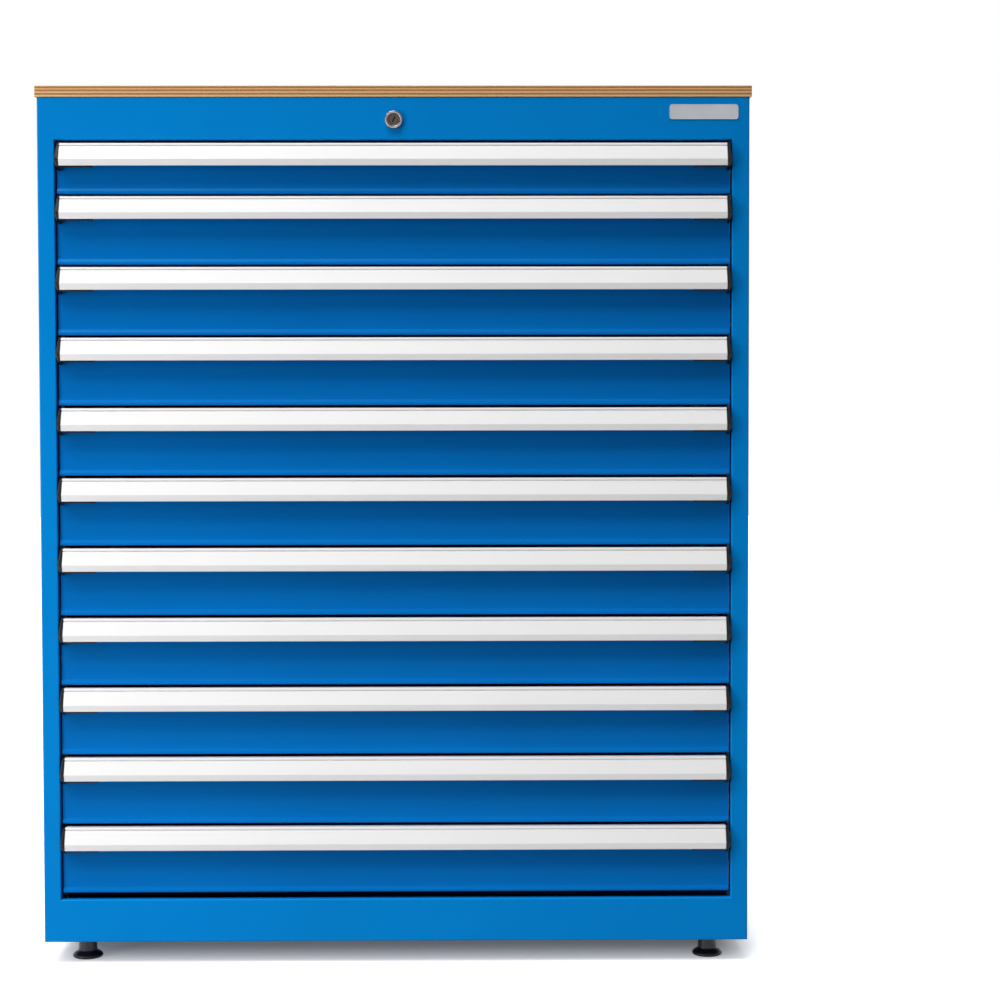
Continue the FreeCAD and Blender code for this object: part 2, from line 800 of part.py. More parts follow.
def make_lock_housing():
    """Ring and barrel, turned round the lock's axis, with the bore for the plug."""
    ring = half(size("ring_size"))
    bore = total(half(size("plug_size")), size("plug_play"))
    face = minus(size("ring_height"))
    profile = [
        (bore, minus(less(size("ring_height"), size("plug_recess")))),
        (total(bore, size("plug_recess")), face),
        (less(ring, size("lip_step")), face),
        (ring, total(face, size("lip_step"))),
        (ring, "0"),
        (half(size("barrel_size")), "0"),
        (half(size("barrel_size")), size("barrel_length")),
        (bore, size("barrel_length")),
    ]
    body = new_body("lock_housing")
    turned(body, "lock_turning", "XY_Plane", profile)
    seat(body, "lock_housing")
    body.setExpression("Placement.Base.z", total(size("foot_height"), LOCK_Z))
    return body


def turned(body, name, role, profile):
    """A profile turned once round the sketch's vertical axis."""
    feature = body.newObject("PartDesign::Revolution", name)
    sketch = outline(body, name + "_outline", role, "0", profile)
    feature.Profile = sketch
    feature.ReferenceAxis = (sketch, ["V_Axis"])
    feature.Angle = 360
    return feature


def make_lock_plug():
    """Plug with its keyway, the disc behind the barrel and the pin that moves the bar."""
    radius = half(size("plug_size"))
    face = minus(less(size("ring_height"), size("plug_recess")))
    disc_start = total(size("barrel_length"), size("screw_play"))
    disc_end = total(disc_start, size("plug_disc_length"))
    profile = [
        ("0", face),
        (radius, face),
        (radius, disc_start),
        (half(size("plug_disc_size")), disc_start),
        (half(size("plug_disc_size")), disc_end),
        ("0", disc_end),
    ]
    body = new_body("lock_plug")
    turned(body, "plug_turning", "XY_Plane", profile)
    pin = circles(body, "pin_circle", "XZ_Plane", minus(total(disc_end, size("pin_length"))),
                  [(PIN_OFFSET, PIN_OFFSET)], PIN_RADIUS)
    pad(body, "pin_pad", pin, total(size("pin_length"), half(size("plug_disc_length"))))
    doc.recompute()
    before = body.Shape.Volume
    keyway = body.newObject("PartDesign::Pocket", "keyway")
    across = half(size("keyway_width"))
    along = half(size("keyway_length"))
    cosine, sine = f"cos({size('keyway_tilt')})", f"sin({size('keyway_tilt')})"
    corners = [(minus(across), minus(along)), (across, minus(along)), (across, along), (minus(across), along)]
    tilted = [(total(f"{x} * {cosine}", f"{z} * {sine}"), less(f"{z} * {cosine}", f"{x} * {sine}"))
              for x, z in corners]
    keyway.Profile = outline(body, "keyway_outline", "XZ_Plane", minus(face), tilted)
    keyway.setExpression("Length", size("keyway_depth"))
    doc.recompute()
    if not body.Shape.Volume < before:
        raise RuntimeError("the keyway cuts nothing")
    seat(body, "lock_plug")
    body.setExpression("Placement.Base.z", total(size("foot_height"), LOCK_Z))
    return body


def make_lock_bar():
    """Arm behind the fascia, strip behind the right stile and one catch for each drawer."""
    y_span = (size("bar_start"), total(size("bar_start"), size("bar_sheet")))
    inner = total(OPENING_HALF, size("bar_behind_stile"))
    outer = total(inner, size("bar_width"))
    arm_middle = total(LOCK_Z, PIN_OFFSET)
    arm_z = (less(arm_middle, half(size("arm_height"))), total(arm_middle, half(size("arm_height"))))
    arm = box("arm_plate", (minus(size("arm_overrun")), outer), y_span, arm_z)
    clear = total(PIN_RADIUS, size("bar_play"))
    slot = box("arm_slot", (less(PIN_OFFSET, clear), total(PIN_THROW, clear)),
               (less(y_span[0], clear), total(y_span[1], clear)),
               (less(arm_middle, clear), total(arm_middle, clear)))
    items = [cut("arm", arm, slot)]
    lowest = less(total(module_base(DRAWERS), wall_top(DRAWERS)), size("tab_below_wall_top"))
    items.append(box("strip", (inner, outer), y_span, (lowest, arm_z[0])))
    for number in range(1, DRAWERS + 1):
        tab_top = total(less(wall_top(number), size("tab_below_wall_top")), size("tab_height"))
        low = total(module_base(number), tab_top, size("catch_above_tab"))
        items.append(box(f"catch_{number:02d}", (less(inner, size("catch_reach")), inner), y_span,
                         (low, total(low, size("catch_height")))))
    return seat(group("lock_bar", items), "lock_bar")


# Feet and fasteners

def foot_places():
    """Names and centres of the four feet."""
    across = less(CASING_HALF, size("foot_side_inset"))
    rows = (("front", size("foot_end_inset")), ("rear", less(CASING_DEPTH, size("foot_end_inset"))))
    return [(f"foot_{row}_{word}", minus(across) if side < 0 else across, along)
            for row, along in rows for word, side in SIDES]


def foot_centres():
    return [(across, along) for name, across, along in foot_places()]


def make_foot(name, across, along):
    """Pad, flare, neck and threaded stem, turned round a vertical axis."""
    pad_radius = half(size("foot_pad_size"))
    neck_radius = half(size("foot_neck_size"))
    floor = minus(size("foot_height"))
    rim = total(floor, size("foot_pad_rim"))
    neck = total(floor, size("foot_neck_start"))
    stem = half(size("foot_stem_size"))
    bead = half(size("foot_pad_rim"))
    flare = [(total(neck_radius, f"{across_share} * {less(pad_radius, neck_radius)}"),
              total(rim, f"{up_share} * {less(neck, rim)}")) for across_share, up_share in FOOT_FLARE]
    profile = [
        ("0", floor),
        (less(pad_radius, bead), floor),
        (pad_radius, total(floor, bead)),
        (pad_radius, rim),
        *flare,
        (neck_radius, neck),
        (neck_radius, "0"),
        (stem, "0"),
        (stem, size("foot_stem_length")),
        ("0", size("foot_stem_length")),
    ]
    body = new_body(name)
    turned(body, name + "_turning", "XZ_Plane", profile)
    seat(body, name)
    body.setExpression("Placement.Base.x", across)
    body.setExpression("Placement.Base.y", total(FRONT_Y, along))
    return body


def make_fasteners():
    """Nuts on the foot stems, screws under the worktop and the nut of the lock."""
    sheet = size("casing_sheet")
    items = []
    for index, (across, along) in enumerate(foot_centres(), start=1):
        name = f"foot_nut_{index}"
        top = total(sheet, size("foot_nut_height"))
        outside = rod(name + "_outside", "z", half(size("foot_nut_size")), sheet, top, across, along)
        bore = rod(name + "_bore", "z", total(half(size("foot_stem_size")), size("foot_play")),
                   "0", total(top, sheet), across, along)
        items.append(cut(name, outside, bore))
    under = less(CASING_HEIGHT, sheet)
    for index, (across, along) in enumerate(screw_centres(), start=1):
        name = f"worktop_screw_{index}"
        shank = rod(name + "_shank", "z", less(half(size("screw_size")), half(size("plug_play"))), under,
                    less(total(CASING_HEIGHT, size("screw_bite")), size("screw_play")), across, along)
        head = rod(name + "_head", "z", half(size("screw_head_size")), less(under, size("screw_head_height")),
                   under, across, along)
        screw = doc.addObject("Part::Fuse", name)
        screw.Base = shank
        screw.Tool = head
        items.append(screw)
    nut_end = total(sheet, size("lock_nut_length"))
    outside = rod("lock_nut_outside", "y", half(size("lock_nut_size")), sheet, nut_end, "0", LOCK_Z)
    bore = rod("lock_nut_bore", "y", total(half(size("barrel_size")), size("screw_play")), "0",
               total(nut_end, sheet), "0", LOCK_Z)
    items.append(cut("lock_nut", outside, bore))
    return seat(group("fasteners", items), "fasteners")


make_worktop()
make_top_panel()
make_bottom_panel()
make_back_panel()
for word, side in SIDES:
    make_side_panel(f"{word}_side_panel", side)
make_runner_frame()
for number in range(1, DRAWERS + 1):
    make_tray(number)
    make_handle(number)
    make_end_caps(number)
    make_carriage(number)
make_lock_housing()
make_lock_plug()
make_lock_bar()
make_badge_plate()
for name, across, along in foot_places():
    make_foot(name, across, along)
make_fasteners()

doc.recompute()
for item in doc.Objects:
    if "Invalid" in item.State or "Error" in item.State:
        raise RuntimeError(f"{item.Label} failed: {item.State}")
for piece in nodes:
    shape = piece.Shape
    if shape.isNull() or not shape.isValid() or not shape.Solids:
        raise RuntimeError(f"{piece.Label} has no valid solid")
    shape.exportStep(f"parts/{piece.Label}.step")
    print(f"{piece.Label}: {len(shape.Solids)} solids, {shape.Volume / 1000:.1f} cm3")
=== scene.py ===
"""Looks of the tool cabinet: powder-coated casing, eleven drawers with aluminium strips, multiplex top.

Lengths are metres. X runs to the right of someone who faces the drawers, the front looks along -Y, Z is up.
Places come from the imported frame; the small sizes of each sub-assembly are fields of its class. Tables of
sizes are millimetres.
"""
import logging
import math
from collections.abc import Callable, Mapping, Sequence
from dataclasses import dataclass, field
from enum import Enum

import bmesh
import bpy
import numpy as np
from mathutils import Matrix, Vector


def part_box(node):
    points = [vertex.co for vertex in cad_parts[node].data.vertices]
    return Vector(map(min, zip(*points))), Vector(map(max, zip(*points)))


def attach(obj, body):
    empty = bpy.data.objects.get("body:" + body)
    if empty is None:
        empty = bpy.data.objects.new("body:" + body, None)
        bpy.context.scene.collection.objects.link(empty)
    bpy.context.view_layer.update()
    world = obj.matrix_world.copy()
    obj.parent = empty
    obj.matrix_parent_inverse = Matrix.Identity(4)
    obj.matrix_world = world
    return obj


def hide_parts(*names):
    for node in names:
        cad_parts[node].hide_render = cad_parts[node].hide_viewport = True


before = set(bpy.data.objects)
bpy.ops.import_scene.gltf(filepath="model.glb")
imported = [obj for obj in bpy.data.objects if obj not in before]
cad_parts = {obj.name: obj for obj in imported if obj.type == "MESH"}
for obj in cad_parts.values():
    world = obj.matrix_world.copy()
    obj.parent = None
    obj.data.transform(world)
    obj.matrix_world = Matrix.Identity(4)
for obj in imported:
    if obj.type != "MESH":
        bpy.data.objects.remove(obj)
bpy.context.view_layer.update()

MM = 0.001
SAME_PLACE = 1e-6
SHARP_RADIUS = 1e-7
BEND_STEPS = 6
EASE_STEPS = 3
SMOOTH_ANGLE = math.radians(32)
WHITE = (1.0, 1.0, 1.0, 1.0)
CABINET = "cabinet"
LOG = logging.getLogger("tool_cabinet")

Pair = tuple[float, float]
Triple = tuple[float, float, float]
Colour = Triple
Points = Sequence[Sequence[float]]
Table = tuple[tuple[float, ...], ...]
Ring = np.ndarray
End = Callable[[Ring], np.ndarray]
Material = bpy.types.Material
Socket = bpy.types.NodeSocket
Inputs = Mapping[int | str, object]


class Side(Enum):
    """The two sides of the cabinet, as the sign of X."""

    LEFT = -1
    RIGHT = 1


class Slot(Enum):
    """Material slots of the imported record."""

    BEECH = "beech_board"
    CASING = "casing_paint"
    DRAWER = "drawer_paint"
    ALUMINIUM = "anodised_aluminium"
    CAP = "cap_plastic"
    ZINC = "zinc_plated_steel"
    NICKEL = "nickel_plate"
    BRASS = "lock_brass"
    PLATE = "silver_plate"
    FOOT = "foot_plastic"


# Surfaces


@dataclass
class Surface:
    """A closed surface: its points, its four-sided faces and the larger faces that close its ends."""

    points: np.ndarray
    quads: np.ndarray
    ends: list[np.ndarray] = field(default_factory=list)

    def on_side(self, side: Side) -> "Surface":
        """The surface on one side of the cabinet, from its shape on the right."""
        return Surface(self.points * (side.value, 1, 1), self.quads, self.ends)


def box_of(node: str) -> tuple[np.ndarray, np.ndarray]:
    """Lower and upper corner of a node's box."""
    low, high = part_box(node)
    return np.array(low), np.array(high)


def rounded_outline(corners: Points, radii: Sequence[float], steps: int) -> Ring:
    """A closed outline whose corners are arcs.

    Each arc starts and ends where it touches the two edges of its corner. Its points are the weighted sum
    of the two vectors from the arc's centre to those touching points, with sine weights, so that they lie
    evenly on the circle.

    Args:
        corners: the sharp outline, in order.
        radii: one radius per corner; 0 keeps the corner sharp.
        steps: arcs are cut into this many lengths.

    Returns:
        The outline as an array of (first, second) coordinates.
    """
    corner = np.array(corners, float)
    radius = np.maximum(np.array(radii, float), SHARP_RADIUS)[:, None]
    before = np.roll(corner, 1, axis=0) - corner
    after = np.roll(corner, -1, axis=0) - corner
    before /= np.linalg.norm(before, axis=1, keepdims=True)
    after /= np.linalg.norm(after, axis=1, keepdims=True)
    opening = np.arccos(np.clip((before * after).sum(1, keepdims=True), -1, 1))
    reach = radius / np.tan(opening / 2)
    middle = before + after
    centre = corner + middle / np.linalg.norm(middle, axis=1, keepdims=True) * radius / np.sin(opening / 2)
    first = (corner + before * reach - centre)[:, None, :]
    last = (corner + after * reach - centre)[:, None, :]
    turn = (math.pi - opening)[:, None, :]
    share = np.linspace(0, 1, steps + 1)[None, :, None]
    arc = (np.sin((1 - share) * turn) * first + np.sin(share * turn) * last) / np.sin(turn)
    outline = (centre[:, None, :] + arc).reshape(-1, 2)
    apart = np.linalg.norm(outline - np.roll(outline, 1, axis=0), axis=1) > SAME_PLACE
    return outline[apart]


def bent_line(corners: Points, radii: Sequence[float]) -> Ring:
    """An open line with straight ends, whose inner corners are arcs of the given radii."""
    closed = rounded_outline(corners, [0, *radii, 0], BEND_STEPS)
    start = np.argmin(np.linalg.norm(closed - np.array(corners[0]), axis=1))
    return np.roll(closed, -start, axis=0)


def side_normals(line: Ring, closed: bool) -> Ring:
    """Unit normals to the right of a line, lengthened at its corners so that an offset keeps its width.

    At a point between two stretches the normal is twice the sum of theirs over that sum's square.

    Args:
        line: points in order.
        closed: whether the last point meets the first.

    Returns:
        One normal for each point.
    """
    step = np.roll(line, -1, axis=0) - line
    step /= np.linalg.norm(step, axis=1, keepdims=True)
    normal = np.stack([step[:, 1], -step[:, 0]], 1)
    last = np.roll(normal, 1, axis=0)
    if not closed:
        normal[-1] = last[-1]
        last[0] = normal[0]
    total = normal + last
    return 2 * total / (total * total).sum(1, keepdims=True)


def outward(outline: Ring) -> Ring:
    """Normals that point out of a closed outline, whichever way round it runs."""
    after = np.roll(outline, -1, axis=0)
    area = (outline[:, 0] * after[:, 1] - after[:, 0] * outline[:, 1]).sum()
    return side_normals(outline, True) * math.copysign(1, area)


def grid_quads(rows: int, columns: int) -> np.ndarray:
    """Faces between neighbouring rings of points, each of which closes on itself."""
    row, column = np.meshgrid(np.arange(rows - 1), np.arange(columns), indexing="ij")
    following = (column + 1) % columns
    faces = [row * columns + column, row * columns + following,
             (row + 1) * columns + following, (row + 1) * columns + column]
    return np.stack([face.ravel() for face in faces], 1)


def loft(rings: np.ndarray) -> Surface:
    """A surface through rings of equally many points, an array of (ring, point, 3), closed at both ends."""
    count, around = rings.shape[:2]
    ends = [np.arange(around)[::-1], (count - 1) * around + np.arange(around)]
    return Surface(rings.reshape(-1, 3), grid_quads(count, around), ends)


class Axis(Enum):
    """The axis along which an outline is carried, as the order in which X, Y and Z are filled."""

    X = (2, 0, 1)
    Y = (0, 2, 1)
    Z = (0, 1, 2)

    def place(self, first: np.ndarray, second: np.ndarray, along: np.ndarray) -> np.ndarray:
        """Puts an outline's two coordinates and the one along the axis into X, Y, Z order."""
        parts = np.broadcast_arrays(first, second, along)
        return np.stack([parts[index] for index in self.value], -1)

    def split(self, point: Sequence[float]) -> list[float]:
        """A point's coordinates in an outline's order: first, second and along the axis."""
        return [point[self.value.index(part)] for part in range(len(self.value))]


def stacked(sections: Sequence[tuple[Ring, float]], axis: Axis, centre: Sequence[float]) -> Surface:
    """A surface through flat sections about a centre, each at its own place along the axis."""
    rings = np.array([ring for ring, _ in sections])
    along = np.array([place for _, place in sections])[:, None]
    first, second, _ = axis.split(centre)
    return loft(axis.place(rings[..., 0] + first, rings[..., 1] + second, along))


def carried(outline: Ring, axis: Axis, low: float, high: float, ease: float) -> Surface:
    """An outline carried along an axis, with eased edges at both ends.

    The ring at a distance d from an end, d below the ease e, is moved inwards by e minus the square root
    of e squared less (e - d) squared, a quarter circle.

    Args:
        outline: the closed section.
        axis: along which it is carried.
        low: lower end.
        high: upper end.
        ease: radius of the edges at the ends.

    Returns:
        The closed surface.
    """
    turn = np.linspace(0, math.pi / 2, EASE_STEPS + 1)
    inset = ease * (1 - np.sin(turn))
    from_end = ease * (1 - np.cos(turn))
    inset = np.concatenate([inset, inset[::-1]])
    along = np.concatenate([low + from_end, (high - from_end)[::-1]])
    rings = outline[None] - outward(outline)[None] * inset[:, None, None]
    return loft(axis.place(rings[..., 0], rings[..., 1], along[:, None]))


def folded_sheet(line: Ring, thickness: float, axis: Axis, low: End, high: End) -> Surface:
    """Sheet metal bent along a line and carried along an axis between two ends, each of which may be mitred.

    The sheet lies between the line and the line moved to its left by the thickness. Its section is closed
    by one narrow face at each edge, and its ends by a strip of narrow faces.

    Args:
        line: outer side of the bent section.
        thickness: of the sheet.
        axis: along which the section is carried.
        low: gives the lower end for each point of the section.
        high: gives the upper end for each point.

    Returns:
        The closed surface.
    """
    inner = line - side_normals(line, False) * thickness
    section = np.concatenate([line, inner[::-1]])
    rings = np.stack([axis.place(section[:, 0], section[:, 1], end(section)) for end in (low, high)])
    count = len(line)
    across = np.arange(count - 1)
    strip = np.stack([across, across + 1, 2 * count - 2 - across, 2 * count - 1 - across], 1)
    quads = np.concatenate([grid_quads(2, 2 * count), strip[:, ::-1], strip + 2 * count])
    return Surface(rings.reshape(-1, 3), quads)


def level(value: float) -> End:
    """A square end at one place."""
    return lambda section: np.full(len(section), value)


def rectangle_ring(half_first: float, half_second: float, radius: float, steps: int = 4) -> Ring:
    """A rectangle about the origin with rounded corners."""
    corners = [(-half_first, -half_second), (half_first, -half_second), (half_first, half_second),
               (-half_first, half_second)]
    return rounded_outline(corners, [radius] * len(corners), steps)


def eased_slab(low: Sequence[float], high: Sequence[float], corner: float, ease: float,
               axis: Axis = Axis.Z) -> Surface:
    """A block: a rounded rectangle carried along an axis.

    Args:
        low: lower corner of its box.
        high: upper corner of its box.
        corner: radius of the edges along the axis.
        ease: radius of the edges at the ends.
        axis: along which it is carried.

    Returns:
        The closed surface.
    """
    low_first, low_second, start = axis.split(low)
    high_first, high_second, end = axis.split(high)
    ring = rectangle_ring((high_first - low_first) / 2, (high_second - low_second) / 2, corner)
    middle = np.array([low_first + high_first, low_second + high_second]) / 2
    return carried(ring + middle, axis, start, end, ease)


def turned(profile: Points, centre: Sequence[float], axis: Axis, around: int) -> Surface:
    """A profile turned once round an axis: each point goes round a circle of its radius.

    Args:
        profile: points of (radius, distance along the axis from the centre).
        centre: a point of the axis.
        axis: direction of the axis.
        around: points on each circle.

    Returns:
        The surface, closed at both ends.
    """
    radius, along = np.array(profile, float).T
    angle = np.linspace(0, 2 * math.pi, around, endpoint=False)
    first, second, middle = axis.split(centre)
    radius = np.maximum(radius, SAME_PLACE)[:, None]
    return loft(axis.place(first + radius * np.cos(angle), second + radius * np.sin(angle),
                           (middle + along)[:, None]))


def turned_ring(profile: Points, centre: Sequence[float], axis: Axis, around: int) -> Surface:
    """A closed profile turned round an axis that it doesn't touch, its last circle joined to its first."""
    surface = turned(profile, centre, axis, around)
    wrap = np.arange(around)
    last, following = (len(profile) - 1) * around, (wrap + 1) % around
    closing = np.stack([last + wrap, last + following, following, wrap], 1)
    return Surface(surface.points, np.concatenate([surface.quads, closing]))


def arc_points(centre: Sequence[float], radius: float, start: float, end: float, steps: int) -> Ring:
    """Points on a circle between two angles in degrees."""
    angle = np.radians(np.linspace(start, end, steps + 1))
    return np.array(centre) + radius * np.stack([np.cos(angle), np.sin(angle)], 1)


# Finishes


def scaled(colour: Colour, share: float) -> Colour:
    """A colour made darker or lighter."""
    return tuple(min(1.0, part * share) for part in colour)


class Graph:
    """A node tree with short methods for the nodes that finishes and stage share."""

    def __init__(self, tree: bpy.types.NodeTree) -> None:
        """Starts from a tree."""
        self.tree = tree

    def give(self, node: bpy.types.Node, inputs: Inputs) -> None:
        """Feeds a node's inputs: a socket is linked, any other value is set."""
        for key, value in inputs.items():
            if isinstance(value, Socket):
                self.tree.links.new(value, node.inputs[key])
            else:
                node.inputs[key].default_value = value

    def add(self, kind: str, inputs: Inputs, output: int | str = 0, **settings: object) -> Socket:
        """Adds a node.

        Args:
            kind: of node, without the words that all kinds start with.
            inputs: the value or the socket for each input that isn't left as it is.
            output: which output is wanted.
            settings: the node's own options.

        Returns:
            The output.
        """
        node = self.tree.nodes.new("ShaderNode" + kind)
        for name, value in settings.items():
            setattr(node, name, value)
        self.give(node, inputs)
        return node.outputs[output]

    def coordinates(self, kind: str = "Object") -> Socket:
        """The place on the piece."""
        return self.add("TexCoord", {}, kind)

    def stretched(self, scale: Triple) -> Socket:
        """Object coordinates times a scale for each axis."""
        return self.add("Mapping", {"Vector": self.coordinates(), "Scale": scale})

    def noise(self, scale: float, detail: float = 2.0, vector: Socket | None = None,
              distortion: float = 0.0) -> Socket:
        """Noise from 0 to 1."""
        return self.add("TexNoise", {"Vector": vector or self.coordinates(), "Scale": scale, "Detail": detail,
                                     "Distortion": distortion})

    def ramp(self, value: Socket, stops: Sequence[tuple[float, Colour]],
             interpolation: str = "LINEAR") -> Socket:
        """A colour for each value.

        Args:
            value: from 0 to 1.
            stops: pairs of place and colour, in order.
            interpolation: what happens between the stops.

        Returns:
            The colour.
        """
        output = self.add("ValToRGB", {"Fac": value})
        band = output.node.color_ramp
        band.interpolation = interpolation
        while len(band.elements) < len(stops):
            band.elements.new(0.5)
        for element, (place, colour) in zip(band.elements, stops):
            element.position = place
            element.color = (*colour, 1.0)
        return output

    def shades(self, value: Socket, colour: Colour, low: Pair, high: Pair) -> Socket:
        """A colour that grows lighter with a value, between two pairs of place and share of the colour."""
        return self.ramp(value, [(place, scaled(colour, share)) for place, share in (low, high)])

    def spread(self, value: Socket, low: float, high: float, source: Pair = (0.0, 1.0),
               interpolation: str = "LINEAR") -> Socket:
        """A value carried from one range to another."""
        return self.add("MapRange", {"Value": value, "From Min": source[0], "From Max": source[1],
                                     "To Min": low, "To Max": high}, interpolation_type=interpolation)

    def reckon(self, operation: str, first: Socket, second: Socket | float = 0.0) -> Socket:
        """One step of arithmetic."""
        return self.add("Math", {0: first, 1: second}, operation=operation)

    def mix(self, share: Socket | float, first: Socket | Sequence[float], second: Socket | Sequence[float],
            blend: str = "MIX") -> Socket:
        """Two colours mixed by a share."""
        return self.add("Mix", {0: share, 6: first, 7: second}, 2, data_type="RGBA", blend_type=blend)

    def part(self, vector: Socket, axis: str) -> Socket:
        """One coordinate of a vector."""
        return self.add("SeparateXYZ", {0: vector}, axis)

    def seen(self) -> Socket:
        """1 for rays from the camera and for rays that gloss or glass sends on, 0 for the rest."""
        share = self.add("LightPath", {}, "Is Camera Ray")
        for other in ("Is Glossy Ray", "Is Transmission Ray"):
            share = self.reckon("MAXIMUM", share, self.add("LightPath", {}, other))
        return share


class FinishGraph(Graph):
    """A material's node tree round its shader."""

    def __init__(self, name: str) -> None:
        """Makes the material."""
        self.material = bpy.data.materials.new(name)
        self.material.use_nodes = True
        super().__init__(self.material.node_tree)
        self.shader = self.tree.nodes["Principled BSDF"]

    def bump(self, height: Socket, distance: float, strength: float) -> None:
        """Adds a relief of the given depth in metres, on top of the one before it."""
        inputs: dict[int | str, object] = {"Height": height, "Distance": distance, "Strength": strength}
        before = self.shader.inputs["Normal"].links
        if before:
            inputs["Normal"] = before[0].from_socket
        self.give(self.shader, {"Normal": self.add("Bump", inputs)})

    def finish(self, inputs: Inputs) -> Material:
        """Feeds the shader and returns the material."""
        self.give(self.shader, inputs)
        return self.material


@dataclass(frozen=True)
class PowderCoat:
    """Fine-textured powder coat on sheet steel, a little cloudy, with an orange-peel skin under its grain."""

    name: str
    colour: Colour
    cloud: float = 0.035
    roughness: Pair = (0.22, 0.34)
    grain_size: float = 1.3 * MM
    grain_depth: float = 0.05 * MM
    peel_size: float = 4.5 * MM
    peel_depth: float = 0.03 * MM
    gloss: float = 0.20
    gloss_tint: Colour = (0.10, 0.62, 1.0)

    def build(self) -> Material:
        """The finished material."""
        graph = FinishGraph(self.name)
        cloud = graph.noise(scale=5.0, detail=3.0)
        grain = graph.noise(1 / self.grain_size)
        graph.bump(graph.noise(1 / self.peel_size, detail=1.0), self.peel_depth, strength=0.6)
        graph.bump(grain, self.grain_depth, strength=0.8)
        return graph.finish({
            "Base Color": graph.shades(cloud, self.colour, (0.25, 1 - self.cloud), (0.75, 1 + self.cloud)),
            "Roughness": graph.spread(grain, *self.roughness),
            "Specular IOR Level": self.gloss, "Specular Tint": (*self.gloss_tint, 1.0)})


@dataclass(frozen=True)
class SatinAluminium:
    """Satin anodised extrusion: drawing lines along X and a slow change of sheen."""

    name: str = "satin_anodised_aluminium"
    colour: Colour = (0.715, 0.705, 0.70)
    roughness: Pair = (0.49, 0.60)
    line_length: float = 260 * MM
    line_width: float = 0.35 * MM
    line_depth: float = 0.012 * MM
    line_share: float = 0.6

    def build(self) -> Material:
        """The finished material."""
        graph = FinishGraph(self.name)
        along = graph.stretched((1 / self.line_length, 1 / self.line_width, 1 / self.line_width))
        lines = graph.noise(1.0, 3.0, along)
        cloud = graph.noise(scale=9.0)
        both = graph.reckon("ADD", graph.reckon("MULTIPLY", lines, self.line_share),
                            graph.reckon("MULTIPLY", cloud, 1 - self.line_share))
        graph.bump(lines, self.line_depth, strength=0.5)
        return graph.finish({
            "Base Color": graph.shades(both, self.colour, (0.3, 0.965), (0.7, 1.015)),
            "Roughness": graph.spread(lines, *self.roughness),
            "Metallic": 0.3, "Specular IOR Level": 0.3})


@dataclass(frozen=True)
class MouldedPlastic:
    """Moulded plastic with an eroded grain from its tool."""

    name: str
    colour: Colour
    roughness: Pair
    grain_size: float
    grain_depth: float
    gloss: float = 0.35

    def build(self) -> Material:
        """The finished material."""
        graph = FinishGraph(self.name)
        grain = graph.noise(1 / self.grain_size)
        graph.bump(grain, self.grain_depth, strength=0.7)
        return graph.finish({
            "Base Color": graph.shades(graph.noise(scale=60.0), self.colour, (0.3, 0.8), (0.7, 1.25)),
            "Roughness": graph.spread(grain, *self.roughness),
            "Specular IOR Level": self.gloss})


@dataclass(frozen=True)
class Multiplex:
    """Beech multiplex: upright faces show the plies as stripes, level faces show straight beech grain."""

    name: str = "beech_multiplex"
    light_ply: Colour = (0.92, 0.58, 0.27)
    dark_ply: Colour = (0.47, 0.205, 0.072)
    face: Colour = (0.78, 0.54, 0.33)
    face_dark: Colour = (0.62, 0.39, 0.21)
    fleck: Colour = (0.80, 0.74, 0.68)
    ply_edges: tuple[float, ...] = (0.0, 0.175, 0.35, 0.481, 0.656, 0.744, 0.919)
    ply_wander: float = 0.25 * MM
    wander_scale: Triple = (9.0, 9.0, 60.0)
    length_fibre_scale: Triple = (14.0, 14.0, 2600.0)
    end_fibre_scale: Triple = (1500.0, 1500.0, 900.0)
    grain_scale: Triple = (2.2, 42.0, 42.0)
    pore_scale: Triple = (110.0, 1900.0, 1900.0)
    fibre_depth: float = 0.03 * MM
    level_from: float = 0.75
    roughness: Pair = (0.52, 0.40)

    def build(self, low: float, high: float) -> Material:
        """The finished material for a board between two heights.

        A ply is light or dark by the share of the board's height below it, after a noise has moved its
        edges up and down. A face is level where its normal's Z is large.
        """
        graph = FinishGraph(self.name)
        wander = graph.noise(1.0, 2.0, graph.stretched(self.wander_scale))
        height = graph.reckon("ADD", graph.part(graph.coordinates(), "Z"),
                              graph.spread(wander, -self.ply_wander, self.ply_wander))
        kinds = [(edge, (float(index % 2),) * 3) for index, edge in enumerate(self.ply_edges)]
        pairs = graph.ramp(graph.spread(height, 0.0, 1.0, (low, high)), kinds, "CONSTANT")
        length_fibre = graph.noise(1.0, 4.0, graph.stretched(self.length_fibre_scale))
        end_fibre = graph.noise(1.0, 3.0, graph.stretched(self.end_fibre_scale))
        edge = graph.mix(pairs, graph.shades(length_fibre, self.light_ply, (0.30, 0.86), (0.70, 1.08)),
                         graph.shades(end_fibre, self.dark_ply, (0.32, 0.72), (0.68, 1.22)))
        grain = graph.noise(1.0, 5.0, graph.stretched(self.grain_scale), 0.6)
        pores = graph.noise(1.0, 2.0, graph.stretched(self.pore_scale))
        board = graph.ramp(grain, [(0.34, self.face_dark), (0.62, self.face)])
        flecks = graph.ramp(pores, [(0.36, self.fleck), (0.46, WHITE[:3])])
        upright = graph.reckon("ABSOLUTE", graph.part(graph.add("NewGeometry", {}, "Normal"), "Z"))
        is_level = graph.reckon("GREATER_THAN", upright, self.level_from)
        graph.bump(end_fibre, self.fibre_depth, strength=0.5)
        return graph.finish({
            "Base Color": graph.mix(is_level, edge, graph.mix(1.0, board, flecks, "MULTIPLY")),
            "Roughness": graph.spread(pores, *self.roughness), "Specular IOR Level": 0.35})


